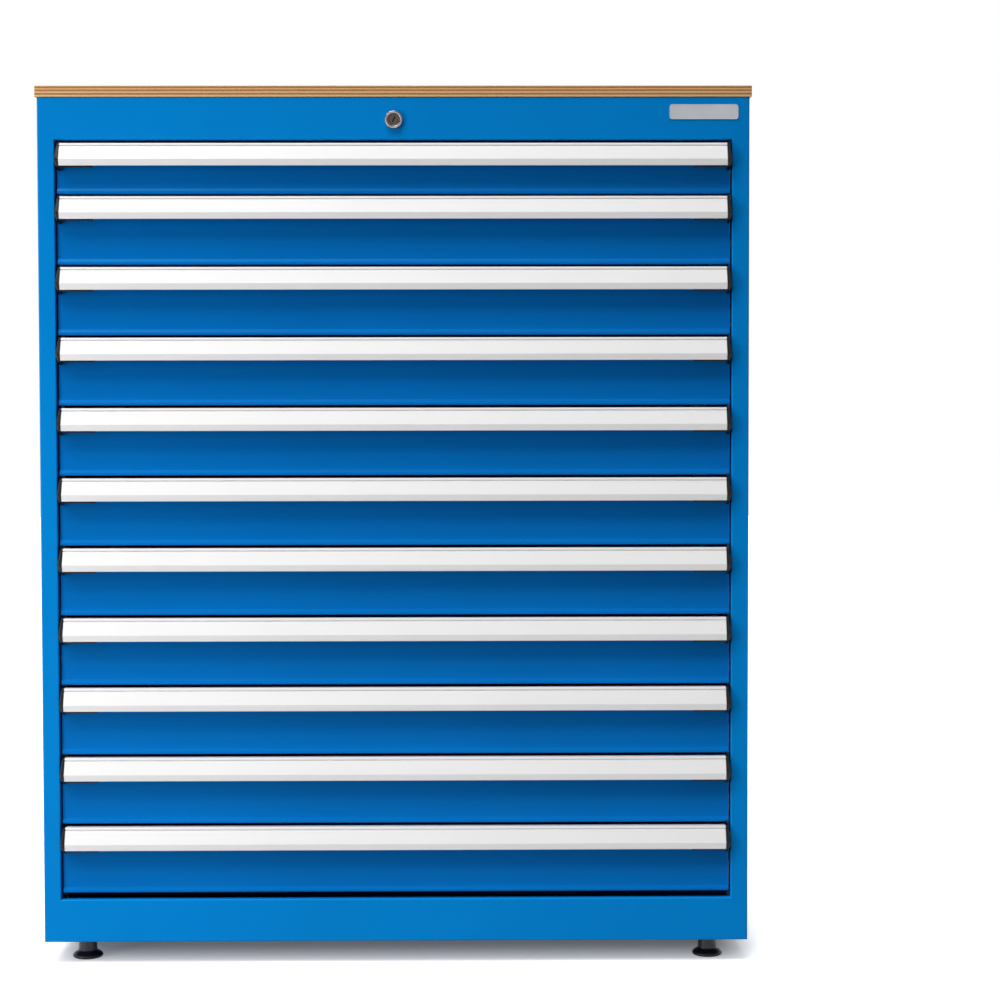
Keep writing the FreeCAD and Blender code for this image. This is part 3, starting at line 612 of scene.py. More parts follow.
@dataclass(frozen=True)
class PlatedMetal:
    """Plated metal with crystal flakes or rubbing marks in its sheen."""

    name: str
    colour: Colour
    roughness: Pair
    flake_size: float
    flake_depth: float
    tint: float = 0.08

    def build(self) -> Material:
        """The finished material."""
        graph = FinishGraph(self.name)
        flakes = graph.noise(1 / self.flake_size, 3.0, None, 0.8)
        cloud = graph.noise(scale=14.0, detail=3.0)
        graph.bump(flakes, self.flake_depth, strength=0.5)
        return graph.finish({
            "Base Color": graph.shades(cloud, self.colour, (0.3, 1 - self.tint), (0.7, 1 + self.tint)),
            "Roughness": graph.spread(flakes, *self.roughness), "Metallic": 1.0})


# Pieces


@dataclass(frozen=True)
class Maker:
    """Makes pieces from surfaces and dresses them; it holds one material for each slot."""

    materials: Mapping[Slot, Material]

    @classmethod
    def with_finishes(cls) -> "Maker":
        """Builds every finish of the cabinet once."""
        low, high = box_of("worktop")
        cap, foot = (0.008, 0.007, 0.009), (0.010, 0.009, 0.014)
        zinc, nickel, brass = (0.62, 0.63, 0.65), (0.20, 0.19, 0.21), (0.085, 0.066, 0.052)
        plate = (0.34, 0.35, 0.37)
        return cls({
            # Casing and drawers wear one paint in two copies: the drawers' copy is darker, painted shade for
            # the shade that the handle strips cast down the fronts, and the casing's copy is lighter.
            Slot.CASING: PowderCoat("casing_coat_lit_copy", (0.0012, 0.260, 0.736)).build(),
            Slot.DRAWER: PowderCoat("drawer_coat_shaded_copy", (0.0010, 0.178, 0.590)).build(),
            Slot.ALUMINIUM: SatinAluminium().build(),
            Slot.CAP: MouldedPlastic("cap_plastic", cap, (0.16, 0.34), 0.5 * MM, 0.01 * MM, 0.18).build(),
            Slot.FOOT: MouldedPlastic("foot_plastic", foot, (0.30, 0.48), 0.9 * MM, 0.12 * MM).build(),
            Slot.BEECH: Multiplex().build(low[2], high[2]),
            Slot.ZINC: PlatedMetal("zinc_plate", zinc, (0.27, 0.46), 6 * MM, 0.02 * MM).build(),
            # The nickel is kept dark, below its own brightness: a painted reflection of dark surroundings on
            # the bezel ring.
            Slot.NICKEL: PlatedMetal("nickel_plate", nickel, (0.11, 0.30), 2 * MM, 0.01 * MM).build(),
            # Brass hue, made far darker than bright brass: painted shade of the lock's recess in which plug
            # and collar sit.
            Slot.BRASS: PlatedMetal("brass_with_painted_shade", brass, (0.27, 0.46), 1 * MM, 0.01 * MM).build(),
            Slot.PLATE: PlatedMetal("brushed_plate", plate, (0.33, 0.52), 0.6 * MM, 0.008 * MM).build(),
        })

    def piece(self, name: str, slot: Slot, body: str, surfaces: Sequence[Surface], *nodes: str) -> None:
        """Joins surfaces into one piece that rides on a body and stands for nodes.

        Args:
            name: of the piece.
            slot: the record's slot of its finish.
            body: name of the body that it moves with.
            surfaces: closed surfaces that make up the piece.
            nodes: nodes that it replaces.
        """
        starts = np.cumsum([0] + [len(surface.points) for surface in surfaces])
        points = np.concatenate([surface.points for surface in surfaces])
        faces: list[list[int]] = []
        for start, surface in zip(starts, surfaces):
            faces += (surface.quads + start).tolist() + [(end + start).tolist() for end in surface.ends]
        mesh = bpy.data.meshes.new(name)
        mesh.from_pydata(points.tolist(), [], faces)
        shell = bmesh.new()
        shell.from_mesh(mesh)
        bmesh.ops.remove_doubles(shell, verts=shell.verts, dist=2 * SAME_PLACE)
        bmesh.ops.recalc_face_normals(shell, faces=shell.faces)
        shell.to_mesh(mesh)
        shell.free()
        mesh.shade_smooth()
        mesh.set_sharp_from_angle(angle=SMOOTH_ANGLE)
        mesh.materials.append(self.materials[slot])
        piece = add_object(name, mesh)
        piece.modifiers.new("even_shading", "WEIGHTED_NORMAL").keep_sharp = True
        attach(piece, body)
        if nodes:
            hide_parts(*nodes)
        LOG.info("%s: %d faces", name, len(mesh.polygons))

    def dress(self, slot: Slot, *nodes: str) -> None:
        """Gives carried-over nodes their finish."""
        for node in nodes:
            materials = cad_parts[node].data.materials
            materials.clear()
            materials.append(self.materials[slot])


def add_object(name: str, data: bpy.types.ID) -> bpy.types.Object:
    """Links a new object into the scene."""
    thing = bpy.data.objects.new(name, data)
    bpy.context.scene.collection.objects.link(thing)
    return thing


@dataclass(frozen=True)
class Mitre:
    """The ends at which a side panel and a level panel meet.

    In front, both ends bend where either panel bends and run straight between. Behind, they run at 45
    degrees from the outer corner.
    """

    half: float
    opening_half: float
    rear: float
    edge: float
    outer: float
    stile_knots: tuple[float, ...]
    level_knots: tuple[float, ...]

    @property
    def sign(self) -> float:
        """1 at the top, -1 at the bottom."""
        return math.copysign(1, self.outer - self.edge)

    def of_side(self, section: Ring) -> np.ndarray:
        """Height at which a side panel ends, for each point of its section."""
        across = np.abs(section[:, 0])
        rise = np.interp(across - self.opening_half, self.stile_knots, self.level_knots)
        front = self.edge + self.sign * rise
        return np.where(section[:, 1] < self.rear, front, self.outer - self.sign * (self.half - across))

    def of_level(self, section: Ring) -> np.ndarray:
        """Distance from the middle at which a level panel ends, for each point of its section."""
        above = self.sign * (section[:, 1] - self.edge)
        front = self.opening_half + np.interp(above, self.level_knots, self.stile_knots)
        behind = self.half - self.sign * (self.outer - section[:, 1])
        return np.where(section[:, 0] < self.rear, front, behind)


@dataclass(frozen=True)
class Casing:
    """Welded sheet-steel casing: two folded sides, top with fascia, bottom with plinth, and back."""

    maker: Maker
    sheet: float = 1.5 * MM
    opening_bend: float = 1.8 * MM
    outer_bend: float = 2.2 * MM
    fold: float = 20 * MM
    plinth_fold: float = 12 * MM
    rear_flange: float = 22 * MM

    def knots(self, width: float) -> tuple[float, ...]:
        """Distances from the opening, across a face of this width, at which a mitred end bends."""
        return (0.0, self.opening_bend, width - self.outer_bend, width)

    def build(self) -> None:
        """Builds the four folded panels and dresses what the source carries over."""
        low, high = box_of("top_panel")
        front, back, half = low[1], high[1], high[0]
        opening_half = box_of("right_side_panel")[0][0]
        bends = (self.opening_bend, self.outer_bend, self.outer_bend)
        bottom, plinth_top = (corner[2] for corner in box_of("bottom_panel"))
        top_mitre, bottom_mitre = (
            Mitre(half, opening_half, (front + back) / 2, edge, outer, self.knots(half - opening_half),
                  self.knots(abs(outer - edge)))
            for edge, outer in ((low[2], high[2]), (plinth_top, bottom)))
        line = bent_line([(opening_half, front + self.fold), (opening_half, front), (half, front),
                          (half, back), (half - self.rear_flange, back)], bends)
        sheet = folded_sheet(line, self.sheet, Axis.Z, bottom_mitre.of_side, top_mitre.of_side)
        for side in Side:
            name = side.name.lower() + "_side_panel"
            self.maker.piece(name + "_sheet", Slot.CASING, CABINET, [sheet.on_side(side)], name)
        for name, fold, mitre in (("top_panel", self.fold, top_mitre),
                                  ("bottom_panel", self.plinth_fold, bottom_mitre)):
            edge, outer = mitre.edge, mitre.outer
            line = bent_line([(front + fold, edge), (front, edge), (front, outer), (back, outer),
                              (back, outer - mitre.sign * self.rear_flange)], bends)
            sheet = folded_sheet(line, -mitre.sign * self.sheet, Axis.X,
                                 lambda section, end=mitre.of_level: -end(section), mitre.of_level)
            self.maker.piece(name + "_sheet", Slot.CASING, CABINET, [sheet], name)
        self.maker.dress(Slot.CASING, "back_panel")
        self.maker.dress(Slot.ZINC, "runner_frame", "fasteners")


@dataclass(frozen=True)
class Worktop:
    """Multiplex board with eased edges."""

    maker: Maker
    ease: float = 0.9 * MM
    corner: float = 1.5 * MM

    def build(self) -> None:
        """Builds the board."""
        board = eased_slab(*box_of("worktop"), self.corner, self.ease)
        self.maker.piece("multiplex_board", Slot.BEECH, CABINET, [board], "worktop")


@dataclass(frozen=True)
class Badge:
    """Blank plate with a raised rim round a brushed field; its edge is rounded by a narrow facet."""

    maker: Maker
    corner: float = 4.0 * MM
    least_corner: float = 0.5 * MM
    edge: float = 0.45 * MM
    facet: float = 0.12 * MM
    rim: float = 1.3 * MM
    rim_slope: float = 0.3 * MM
    rim_height: float = 0.35 * MM

    def build(self) -> None:
        """Builds the plate from nested rounded rectangles that step down from the rim to the field."""
        low, high = box_of("badge_plate")
        half = (high - low) / 2
        face = low[1]
        steps = [(0.0, high[1]), (0.0, face + self.edge), (self.facet, face + self.facet), (self.edge, face),
                 (self.rim, face), (self.rim + self.rim_slope, face + self.rim_height)]
        sections = []
        for inset, depth in steps:
            corner = max(self.corner - inset, self.least_corner)
            sections.append((rectangle_ring(half[0] - inset, half[2] - inset, corner, BEND_STEPS), depth))
        plate = stacked(sections, Axis.Y, (low + high) / 2)
        self.maker.piece("blank_plate", Slot.PLATE, CABINET, [plate], "badge_plate")


@dataclass(frozen=True)
class CamLock:
    """Cam lock in the fascia: bezel ring, collar round the plug, plug with its keyway, and the bar behind it.

    The collar's table gives radius and depth behind the recess in the ring.
    """

    maker: Maker
    plug_radius: float = 6.5 * MM
    plug_rim: float = 0.5 * MM
    play: float = 0.05 * MM
    face_recess: float = 1.6 * MM
    recess_radius: float = 8.3 * MM
    ring_round: float = 2.1 * MM
    ring_inset: float = 2.3 * MM
    ring_depth: float = 3.9 * MM
    neck_radius: float = 9.5 * MM
    collar: Table = ((6.65, 0.2), (6.65, -0.25), (6.95, -0.4), (8.3, -0.1), (8.3, 0.2))
    keyway_width: float = 1.8 * MM
    keyway_length: float = 8.0 * MM
    keyway_depth: float = 9.0 * MM
    keyway_edge: float = 0.3 * MM
    keyway_flare: float = 1.06
    keyway_tilt: float = math.radians(25)
    disc_radius: float = 9.0 * MM
    disc_thickness: float = 2.5 * MM
    pin_length: float = 9.0 * MM
    pin_radius: float = 2.0 * MM
    pin_offset: float = 4.0 * MM
    pin_edge: float = 0.4 * MM
    around: int = 96
    pin_around: int = 32

    def build(self) -> None:
        """Builds the housing, the collar and the plug, and dresses the bar."""
        low, high = box_of("lock_housing")
        middle = (low + high) / 2
        ring = (high[0] - low[0]) / 2
        face, end = low[1] - middle[1], high[1] - middle[1]
        seat = box_of("top_panel")[0][1] - middle[1]
        bore, floor = self.plug_radius + self.play, face + self.face_recess
        bulge = arc_points((ring - self.ring_inset, face + self.ring_round), self.ring_round, 185, 360, 12)
        profile = [(bore, end), (bore, floor + self.plug_rim), (bore + self.plug_rim, floor),
                   (self.recess_radius, floor), *bulge, (ring, face + self.ring_depth), (ring, seat),
                   (self.neck_radius, seat), (self.neck_radius, end)]
        collar = np.array(self.collar) * MM + (0, floor)
        bezel, collar = (turned_ring(line, middle, Axis.Y, self.around) for line in (profile, collar))
        self.maker.piece("lock_bezel", Slot.NICKEL, CABINET, [bezel], "lock_housing")
        self.build_plug(middle, floor + middle[1])
        # Collar and plug wear the darkened brass, painted shade of the recess.
        self.maker.piece("lock_collar", Slot.BRASS, CABINET, [collar])
        self.maker.dress(Slot.ZINC, "lock_bar")

    def build_plug(self, middle: np.ndarray, face: float) -> None:
        """Builds the plug: a keyway sunk into its face, its rim, the disc behind it and the pin.

        Every ring has as many points as the others. The keyway's outline is a tilted rectangle, and the
        points of the circles lie at the same angles about the centre.

        Args:
            middle: a point of the lock's axis.
            face: how far back the plug's face lies.
        """
        angle = np.linspace(0, 2 * math.pi, self.around, endpoint=False)
        circle = np.stack([np.cos(angle), np.sin(angle)], 1)
        cos_tilt, sin_tilt = math.cos(self.keyway_tilt), math.sin(self.keyway_tilt)
        across = circle[:, 0] * cos_tilt - circle[:, 1] * sin_tilt
        along = circle[:, 0] * sin_tilt + circle[:, 1] * cos_tilt
        reach = np.maximum(np.abs(across) / (self.keyway_width / 2), np.abs(along) / (self.keyway_length / 2))
        slot = circle / reach[:, None]
        back = box_of("lock_plug")[1][1]
        disc_end = back - self.pin_length
        disc_start = disc_end - self.disc_thickness
        plug, rim, disc = self.plug_radius, self.plug_rim, self.disc_radius
        body = stacked([(slot, face + self.keyway_depth), (slot, face + self.keyway_edge),
                        (slot * self.keyway_flare, face), (circle * (plug - rim), face),
                        (circle * plug, face + rim), (circle * plug, disc_start),
                        (circle * disc, disc_start), (circle * disc, disc_end)],
                       Axis.Y, middle)
        edge = self.pin_edge
        pin = turned([(0, disc_end), (self.pin_radius, disc_end), (self.pin_radius, back - edge),
                      (self.pin_radius - edge, back), (0, back)],
                     (middle[0] + self.pin_offset, 0.0, middle[2] + self.pin_offset), Axis.Y,
                     self.pin_around)
        self.maker.piece("lock_plug_face", Slot.BRASS, "lock_key_plug", [body, pin], "lock_plug")


@dataclass(frozen=True)
class LevellingFoot:
    """Moulded foot: collar that narrows slightly upwards, bell-shaped pad, and its stem.

    The bell's table gives distances inwards from the pad's rim and heights above the floor.
    """

    maker: Maker
    collar_top: float = 12.6 * MM
    collar_low: float = 13.4 * MM
    collar_start: float = 11.5 * MM
    collar_fillet: Pair = (0.6 * MM, 1.3 * MM)
    collar_edge: Pair = (0.5 * MM, 0.6 * MM)
    toe: float = 3.2 * MM
    bell: Table = ((0.3, 4.2), (1.6, 5.8), (4.0, 7.6), (6.6, 9.0))
    stem: float = 5.7 * MM
    stem_overlap: float = 1 * MM
    stem_edge: float = 1.2 * MM
    thread_pitch: float = 1.75 * MM
    thread_depth: float = 0.55 * MM
    around: int = 72
    stem_around: int = 24
    rows_per_turn: int = 6

    def build(self, node: str) -> None:
        """Builds one foot from its turned profile and a threaded stem."""
        low, high = box_of(node)
        centre = (*((low + high) / 2)[:2], low[2])
        pad = (high[0] - low[0]) / 2
        top = box_of("bottom_panel")[0][2] - low[2]
        inwards, upwards = self.collar_edge
        profile = [(0, 0), (pad - self.toe, 0), *arc_points((pad - self.toe, self.toe), self.toe, -80, 0, 7),
                   *((pad - inset * MM, height * MM) for inset, height in self.bell),
                   (self.collar_low + self.collar_fillet[0], self.collar_start - self.collar_fillet[1]),
                   (self.collar_low, self.collar_start),
                   (self.collar_top, top - upwards), (self.collar_top - inwards, top), (0, top)]
        stem = self.threaded_stem(centre, top - self.stem_overlap, high[2] - low[2])
        body = "levelling_" + node
        self.maker.piece(node + "_body", Slot.FOOT, body, [turned(profile, centre, Axis.Z, self.around)],
                         node)
        self.maker.piece(node + "_stem", Slot.ZINC, body, [stem])

    def threaded_stem(self, centre: Sequence[float], low: float, high: float) -> Surface:
        """The stem's thread, whose radius rises and falls as a triangle wave of height and angle together.

        Args:
            centre: of the foot, on the floor.
            low: lower end, above the floor.
            high: upper end.

        Returns:
            The closed surface.
        """
        rows = int((high - low) / self.thread_pitch * self.rows_per_turn)
        height = np.linspace(low, high, rows)[:, None]
        angle = np.linspace(0, 2 * math.pi, self.stem_around, endpoint=False)[None]
        phase = (height / self.thread_pitch - angle / (2 * math.pi)) % 1.0
        radius = self.stem - self.thread_depth * np.abs(2 * phase - 1)
        radius = np.where(height > high - self.stem_edge, self.stem - self.thread_depth, radius)
        return loft(Axis.Z.place(centre[0] + radius * np.cos(angle), centre[1] + radius * np.sin(angle),
                                 centre[2] + height))


@dataclass(frozen=True)
class Drawer:
    """One drawer: folded tray with its double front, extruded handle strip, end caps and runner members.

    The tables of strip and cap give for each corner how far it lies before the casing's front, its height
    above the strip's lower edge and the radius that rounds it, for the cap at the strip and at its outer end.
    """

    maker: Maker
    number: int
    sheet: float = 1.2 * MM
    face_recess: float = 6.0 * MM
    lip_recess: float = 4.0 * MM
    front_depth: float = 22.0 * MM
    shoulder_low: float = 3.9 * MM
    shoulder_high: float = 8.3 * MM
    front_bends: tuple[float, ...] = (2.0 * MM, 2.4 * MM, 2.4 * MM, 2.0 * MM)
    return_gaps: Pair = (0.2 * MM, 3.4 * MM)
    end_inset: float = 0.15 * MM
    end_margin: float = 1.4 * MM
    end_corner: float = 0.2 * MM
    ease: float = 0.3 * MM
    wall_corner: float = 0.5 * MM
    floor_lift: float = 3.0 * MM
    tray_half: float = 450 * MM
    wall_below_module: float = 23 * MM
    hem: float = 7.2 * MM
    hem_drop: float = 5 * MM
    tray_bend: float = 1.3 * MM
    rail_middle: float = 25.0 * MM
    rail_gap: float = 10.3 * MM
    rail_sheet: float = 1.5 * MM
    rail_flange: float = 12.8 * MM
    rail_bend: float = 1.9 * MM
    tab_below_module: Pair = (35 * MM, 27 * MM)
    tab_across: Pair = (0.6 * MM, 22.8 * MM)
    tab_behind_front: Pair = (6 * MM, 8 * MM)
    tab_corner: float = 1 * MM
    strip_edge: float = 0.35 * MM
    strip: Table = (
        (11.5, 0.0, 0.5), (13.0, 9.0, 0.7), (5.6, 27.9, 0.35), (4.1, 27.9, 0.25), (4.1, 29.3, 0.25),
        (5.6, 29.3, 0.35), (4.6, 32.5, 0.8), (-6.0, 32.5, 0.3), (-6.0, 18.5, 0.4), (-4.0, 18.5, 0.4),
        (-4.0, 30.5, 0.8), (2.1, 30.5, 0.5), (2.1, 27.3, 0.8), (11.0, 8.0, 1.5), (9.5, 0.0, 0.5))
    cap: Table = (
        (12.0, -0.5, 1.0, 2.5), (13.5, 9.0, 2.0, 13.0), (6.1, 27.9, 3.0, 20.0), (4.4, 33.0, 1.0, 1.6),
        (-6.0, 33.0, 0.4, 0.4), (-6.0, -6.0, 0.4, 0.4), (-0.5, -6.0, 1.0, 1.6))
    cap_knee: float = 9.0 * MM
    cap_rise: float = 24.0 * MM
    cap_narrowing_up: float = 0.48
    cap_narrowing_down: float = 0.34
    cap_dome: Pair = (2.6 * MM, 1.9 * MM)
    cap_start: Pair = (0.15 * MM, 0.45 * MM)
    cap_start_inset: float = 0.35 * MM
    cap_easing: float = 0.6
    tongue_across: Pair = (-48 * MM, 0.5 * MM)
    tongue_before_front: Pair = (9.5 * MM, 6.6 * MM)
    tongue_heights: Pair = (-2.2 * MM, 4.5 * MM)

    @property
    def label(self) -> str:
        """Name of the drawer's body."""
        return f"drawer_{self.number:02d}"

    @property
    def module(self) -> float:
        """Height that the drawer takes up, with the space over it."""
        return (75 if self.number == 1 else 100) * MM

    @property
    def front(self) -> float:
        """Where the casing's front lies."""
        return box_of("bottom_panel")[0][1]

    @property
    def strip_base(self) -> float:
        """Height of the strip's lower edge."""
        return box_of(self.label + "_handle")[0][2]

    def build(self) -> None:
        """Builds every piece of the drawer and dresses its runner members."""
        low, high = box_of(self.label + "_handle")
        strip = carried(self.rounded(self.strip, 2, 4), Axis.X, low[0], high[0], self.strip_edge)
        # The shell wears the darker copy of the paint, painted shade for the shade of the handle strip above
        # it.
        self.piece("_shell", Slot.DRAWER, self.front_surfaces() + self.tray_surfaces(), "_tray")
        self.piece("_handle_strip", Slot.ALUMINIUM, [strip], "_handle")
        self.piece("_handle_caps", Slot.CAP, self.cap_surfaces(high[0]), "_end_caps")
        self.maker.dress(Slot.ZINC, self.label + "_carriage")

    def piece(self, name: str, slot: Slot, surfaces: Sequence[Surface], node: str) -> None:
        """Makes a piece of this drawer in place of one of its nodes."""
        self.maker.piece(self.label + name, slot, self.label, surfaces, self.label + node)

    def front_surfaces(self) -> list[Surface]:
        """The drawer's double front.

        Returns:
            The folded pan that is seen, the wall behind it and the plates that close it at both ends.
        """
        low, high = box_of(self.label + "_tray")
        half, base, top = high[0], low[2], high[2]
        face, lip = self.front + self.face_recess, self.front + self.lip_recess
        back = self.front + self.front_depth
        upper_gap, lower_gap = self.return_gaps
        corners = [(back - self.sheet - upper_gap, top), (face, top), (face, base + self.shoulder_high),
                   (lip, base + self.shoulder_low), (lip, base), (back - lower_gap, base)]
        line = bent_line(corners, self.front_bends)
        pan = folded_sheet(line, self.sheet, Axis.X, level(-half), level(half))
        wall = eased_slab((-half, back - self.sheet, base + self.floor_lift), (half, back, top),
                          self.wall_corner, self.ease, Axis.Y)
        margin, outside = self.end_margin, half - self.end_inset
        plate = eased_slab((outside - self.sheet, face + margin, base + margin),
                           (outside, back - self.sheet, top - margin), self.end_corner, self.ease, Axis.X)
        return [pan, wall, *(plate.on_side(side) for side in Side)]

    def tray_surfaces(self) -> list[Surface]:
        """The tray behind the front.

        Returns:
            The folded channel of floor and side walls, the rear wall, the two rails and the lock tab.
        """
        low, high = box_of(self.label + "_tray")
        base, start, end = low[2], self.front + self.front_depth, high[1]
        half = self.tray_half
        hem, wall_top = half + self.hem, base + self.module - self.wall_below_module
        floor = base + self.floor_lift + self.sheet
        corners = [(-hem, wall_top - self.hem_drop), (-hem, wall_top), (-half, wall_top), (-half, floor),
                   (half, floor), (half, wall_top), (hem, wall_top), (hem, wall_top - self.hem_drop)]
        channel = folded_sheet(bent_line(corners, [self.tray_bend] * (len(corners) - 2)), -self.sheet, Axis.Y,
                               level(start), level(end))
        rear = eased_slab((-half, end - self.sheet, floor - self.sheet), (half, end, wall_top),
                          self.wall_corner, self.ease, Axis.Y)
        middle, reach = base + self.rail_middle, self.rail_gap + self.rail_sheet
        web = half + self.sheet
        flange = web + self.rail_flange
        line = bent_line([(flange, middle - reach), (web, middle - reach), (web, middle + reach),
                          (flange, middle + reach)], (self.rail_bend, self.rail_bend))
        rail = folded_sheet(line, -self.rail_sheet, Axis.Y, level(start), level(end))
        tab_low, tab_high = (base + self.module - drop for drop in self.tab_below_module)
        tab = eased_slab((web - self.tab_across[0], start + self.tab_behind_front[0], tab_low),
                         (web + self.tab_across[1], start + self.tab_behind_front[1], tab_high),
                         self.tab_corner, self.ease, Axis.Y)
        return [channel, rear, *(rail.on_side(side) for side in Side), tab]

    def rounded(self, table: Table, column: int, steps: int) -> Ring:
        """An outline in Y and Z from a table of corners.

        Args:
            table: rows of distance before the front, height and radii, in millimetres.
            column: which column holds the radii.
            steps: arcs are cut into this many lengths.

        Returns:
            The rounded outline.
        """
        rows = np.array(table) * MM
        corners = np.stack([self.front - rows[:, 0], self.strip_base + rows[:, 1]], 1)
        return rounded_outline(corners, rows[:, column], steps)

    def cap_surfaces(self, inner: float) -> list[Surface]:
        """The two end caps, each a dome with a tongue under the strip, from the strip's right end."""
        outlines = [self.rounded(self.cap, column, 6) for column in (2, 3)]
        dome = self.domed(*outlines, inner, box_of(self.label + "_end_caps")[1][0])
        sizes = zip(self.tongue_across, self.tongue_before_front, self.tongue_heights)
        corners = [(inner + across, self.front - before, self.strip_base + height)
                   for across, before, height in sizes]
        tongue = eased_slab(*corners, self.ease, self.ease, Axis.X)
        return [surface.on_side(side) for side in Side for surface in (dome, tongue)]

    def domed(self, at_strip: Ring, at_side: Ring, inner: float, outer: float) -> Surface:
        """A cap: its outline carried outwards and drawn in along a quarter ellipse.

        On the way the outline turns into a rounder one, and seen from the front the cap's width follows two
        parabolas, from its full value at the knee to a share of it at the top and at the strip's lower edge.

        Args:
            at_strip: outline where the cap meets the strip.
            at_side: outline at its outer end.
            inner: end of the strip.
            outer: outer end of the cap.

        Returns:
            The closed surface.
        """
        turn = np.linspace(0, math.pi / 2, 8)
        depth, draw = self.cap_dome
        along = np.concatenate([inner + np.array(self.cap_start), outer - depth * (1 - np.sin(turn))])
        inset = np.concatenate([[self.cap_start_inset, 0.0], draw * (1 - np.cos(turn))])
        share = np.clip((along - along[1]) / (outer - along[1]), 0, 1)[:, None, None] ** self.cap_easing
        rings = at_strip[None] * (1 - share) + at_side[None] * share
        rings -= outward(at_strip)[None] * inset[:, None, None]
        over_knee = rings[..., 1] - self.strip_base - self.cap_knee
        above, below = np.clip(over_knee / self.cap_rise, 0, 1), np.clip(-over_knee / self.cap_knee, 0, 1)
        width = 1 - self.cap_narrowing_up * above ** 2 - self.cap_narrowing_down * below ** 2
        return loft(Axis.X.place(rings[..., 0], rings[..., 1], inner + (along[:, None] - inner) * width))


# Stage


def standing(right: np.ndarray, up: np.ndarray, ahead: np.ndarray, place: Sequence[float]) -> Matrix:
    """The placement of a lamp or camera from the directions of its own axes."""
    matrix = np.eye(4)
    matrix[:3] = np.stack([right, up, -ahead, place], 1)
    return Matrix(matrix)


@dataclass(frozen=True)
class Lamp:
    """A softbox that looks at a target, or, without a size, an even light whose rays all run the same way."""

    name: str
    place: Triple
    target: Triple
    power: float
    size: Pair | None = None
    spread: float = 0.0

    def build(self) -> None:
        """Adds the lamp to the scene, its own up direction turned towards +Z."""
        data = bpy.data.lights.new(self.name, "AREA" if self.size else "SUN")
        data.energy = self.power
        if self.size:
            data.shape = "RECTANGLE"
            data.size, data.size_y = self.size
        else:
            data.angle = math.radians(self.spread)
        ahead = np.array(self.target) - np.array(self.place)
        ahead /= np.linalg.norm(ahead)
        right = np.cross(ahead, (0.0, 0.0, 1.0))
        right /= np.linalg.norm(right)
        add_object(self.name, data).matrix_world = standing(right, np.cross(right, ahead), ahead, self.place)


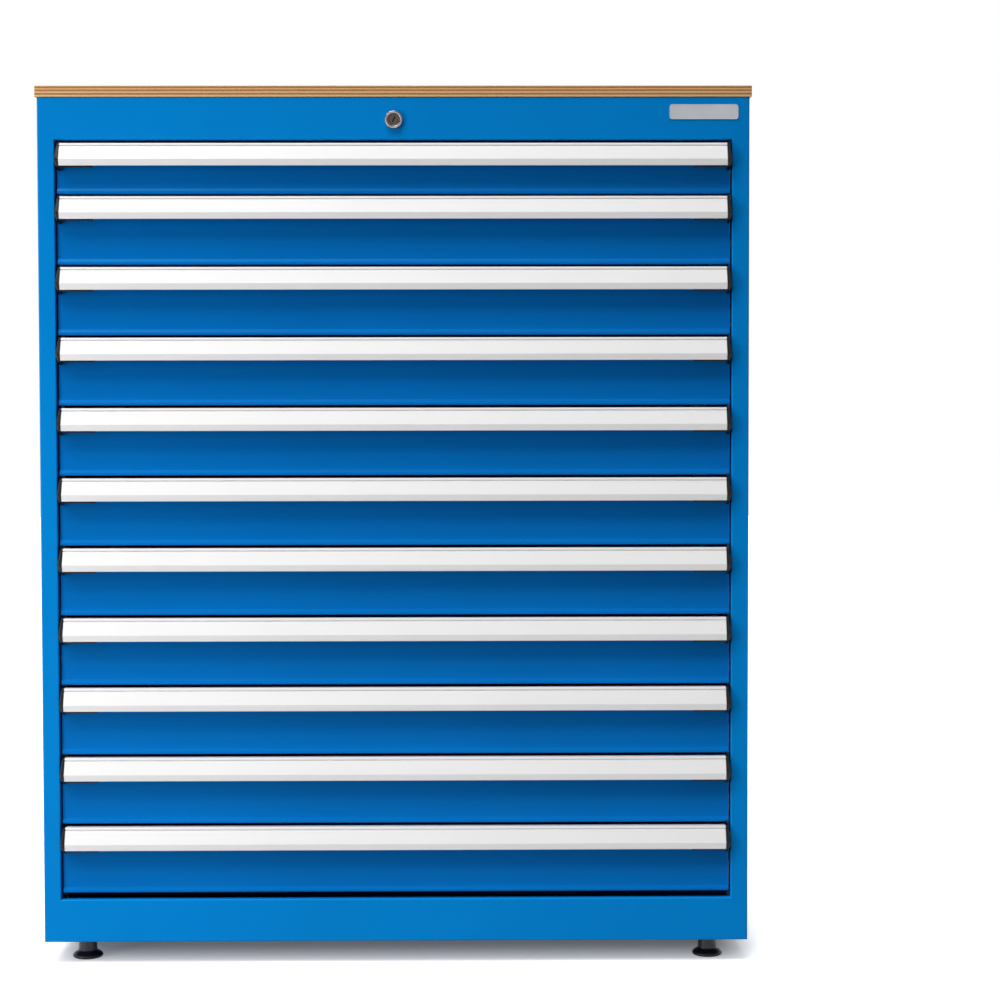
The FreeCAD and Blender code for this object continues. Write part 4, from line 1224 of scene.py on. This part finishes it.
@dataclass(frozen=True)
class Studio:
    """Pale floor, plain soft light and the camera at the photograph's angle.

    A pair of the floor or the sky holds a near and a far value, or a low and a high one.
    """

    place: Triple = (0.1231, -3.3608, 0.7792)
    yaw: float = math.radians(0.5127)
    pitch: float = math.radians(-2.1271)
    roll: float = math.radians(-0.0942)
    lens: float = 75.668
    sensor: float = 36.0
    sight: float = 60.0
    floor_half: float = 14.0
    lamps: tuple[Lamp, ...] = (
        Lamp("key_light", (-2.6, -1.9, 3.3), (0.0, -0.37, 0.7), 0.5, None, 14.0),
        Lamp("top_light", (-0.6, -1.4, 3.4), (0.0, -0.37, 0.7), 2.05, None, 34.0),
        Lamp("side_strip", (-1.7, -1.6, 0.8), (-0.2, -0.37, 0.5), 17.5, (0.6, 2.1)),
        Lamp("floor_fill", (-0.3, -1.2, 0.03), (-0.05, -0.37, 0.45), 1.0, (1.6, 0.8)),
        Lamp("low_box", (-2.2, -2.4, 0.25), (-0.1, -0.37, 0.25), 9.5, (0.8, 0.8)),
        Lamp("crease_lamp", (-1.0, -2.1, 3.5), (-0.2, -0.37, 0.8), 4.0, (0.25, 0.25)),
    )
    sky: Pair = (0.0175, 0.125)
    sky_span: Pair = (-0.3, 1.0)
    sky_tint: Colour = (0.85, 0.95, 1.15)
    # The floor's glow is painted light, low under the cabinet where it paints shade and full far off.
    floor_glow: Pair = (0.10, 1.0)
    floor_bounce: Pair = (0.22, 0.05)
    shade_rectangle_half: Triple = (0.46, 0.236, 1.0)
    fade: Triple = (0.12, 0.24, 1.0)
    bounce_span: Pair = (4.0, 14.0)

    def build(self) -> None:
        """Builds the camera, the floor, the world and the lamps."""
        self.build_camera()
        self.build_floor()
        self.build_world()
        for lamp in self.lamps:
            lamp.build()

    def build_camera(self) -> None:
        """Sets the camera's axes from yaw about Z, pitch and roll."""
        cos_yaw, sin_yaw, cos_pitch = math.cos(self.yaw), math.sin(self.yaw), math.cos(self.pitch)
        ahead = np.array([sin_yaw * cos_pitch, cos_yaw * cos_pitch, math.sin(self.pitch)])
        right = np.array([cos_yaw, -sin_yaw, 0.0])
        up = np.cross(right, ahead)
        rolled_right = math.cos(self.roll) * right + math.sin(self.roll) * up
        rolled_up = math.cos(self.roll) * up - math.sin(self.roll) * right
        data = bpy.data.cameras.new("camera")
        data.lens, data.sensor_width, data.clip_end = self.lens, self.sensor, self.sight
        camera = add_object("camera", data)
        camera.matrix_world = standing(rolled_right, rolled_up, ahead, self.place)
        bpy.context.scene.camera = camera

    def build_floor(self) -> None:
        """Builds a floor that looks white where nothing shades it and keeps the cabinet's shadow.

        Where it is seen it glows of its own, less towards the cabinet: the glow is painted light that whitens
        the floor, and its drop is painted shade that darkens the floor under the cabinet on top of the cast
        shadow. The share of glow rises with the length of the vector by which a point lies outside a
        rectangle under the cabinet, each part of it divided by the width of the fade. Light that it throws
        back falls off far from the cabinet.
        """
        half = self.floor_half
        mesh = bpy.data.meshes.new("floor")
        mesh.from_pydata([(-half, -half, 0), (half, -half, 0), (half, half, 0), (-half, half, 0)], [],
                         [(0, 1, 2, 3)])
        graph = FinishGraph("pale_floor")
        seen = graph.seen()
        outside, nothing = graph.coordinates(), (0.0, 0.0, 0.0)
        for operation, amount in (("ABSOLUTE", nothing), ("SUBTRACT", self.shade_rectangle_half), ("DIVIDE", self.fade),
                                  ("MAXIMUM", nothing)):
            outside = graph.add("VectorMath", {0: outside, 1: amount}, operation=operation)
        distance = graph.add("VectorMath", {0: outside}, "Value", operation="LENGTH")
        # Painted light of the floor, with painted shade where it drops over the rectangle under the cabinet.
        glow = graph.spread(distance, *self.floor_glow, interpolation="SMOOTHSTEP")
        bounce = graph.spread(distance, *self.floor_bounce, self.bounce_span, "SMOOTHSTEP")
        albedo = graph.reckon("MAXIMUM", seen, bounce)
        mesh.materials.append(graph.finish({
            "Base Color": graph.add("CombineColor", {"Red": albedo, "Green": albedo, "Blue": albedo}),
            "Roughness": 0.9, "Specular IOR Level": 0.0, "Emission Color": WHITE,
            "Emission Strength": graph.reckon("MULTIPLY", seen, glow)}))
        add_object("floor", mesh)

    def build_world(self) -> None:
        """Builds a world that is white where it is seen, and a dimmer plain light elsewhere."""
        world = bpy.data.worlds.new("studio")
        bpy.context.scene.world = world
        world.use_nodes = True
        graph = Graph(world.node_tree)
        seen = graph.seen()
        sky = graph.spread(graph.part(graph.coordinates("Generated"), "Z"), *self.sky, self.sky_span)
        graph.give(graph.tree.nodes["Background"], {
            "Color": graph.mix(seen, (*self.sky_tint, 1.0), WHITE),
            "Strength": graph.reckon("MAXIMUM", seen, sky)})


def main() -> None:
    """Builds the cabinet in order."""
    logging.basicConfig(level=logging.INFO, format="%(name)s: %(message)s")
    maker = Maker.with_finishes()
    for part in (Casing(maker), Worktop(maker), Badge(maker), CamLock(maker)):
        part.build()
    drawers = [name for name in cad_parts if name.endswith("_tray")]
    for number in range(1, len(drawers) + 1):
        Drawer(maker, number).build()
    for node in sorted(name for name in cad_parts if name.startswith("foot_")):
        LevellingFoot(maker).build(node)
    Studio().build()
    bpy.context.scene.view_settings.view_transform = "Standard"


if __name__ == "__main__":
    main()
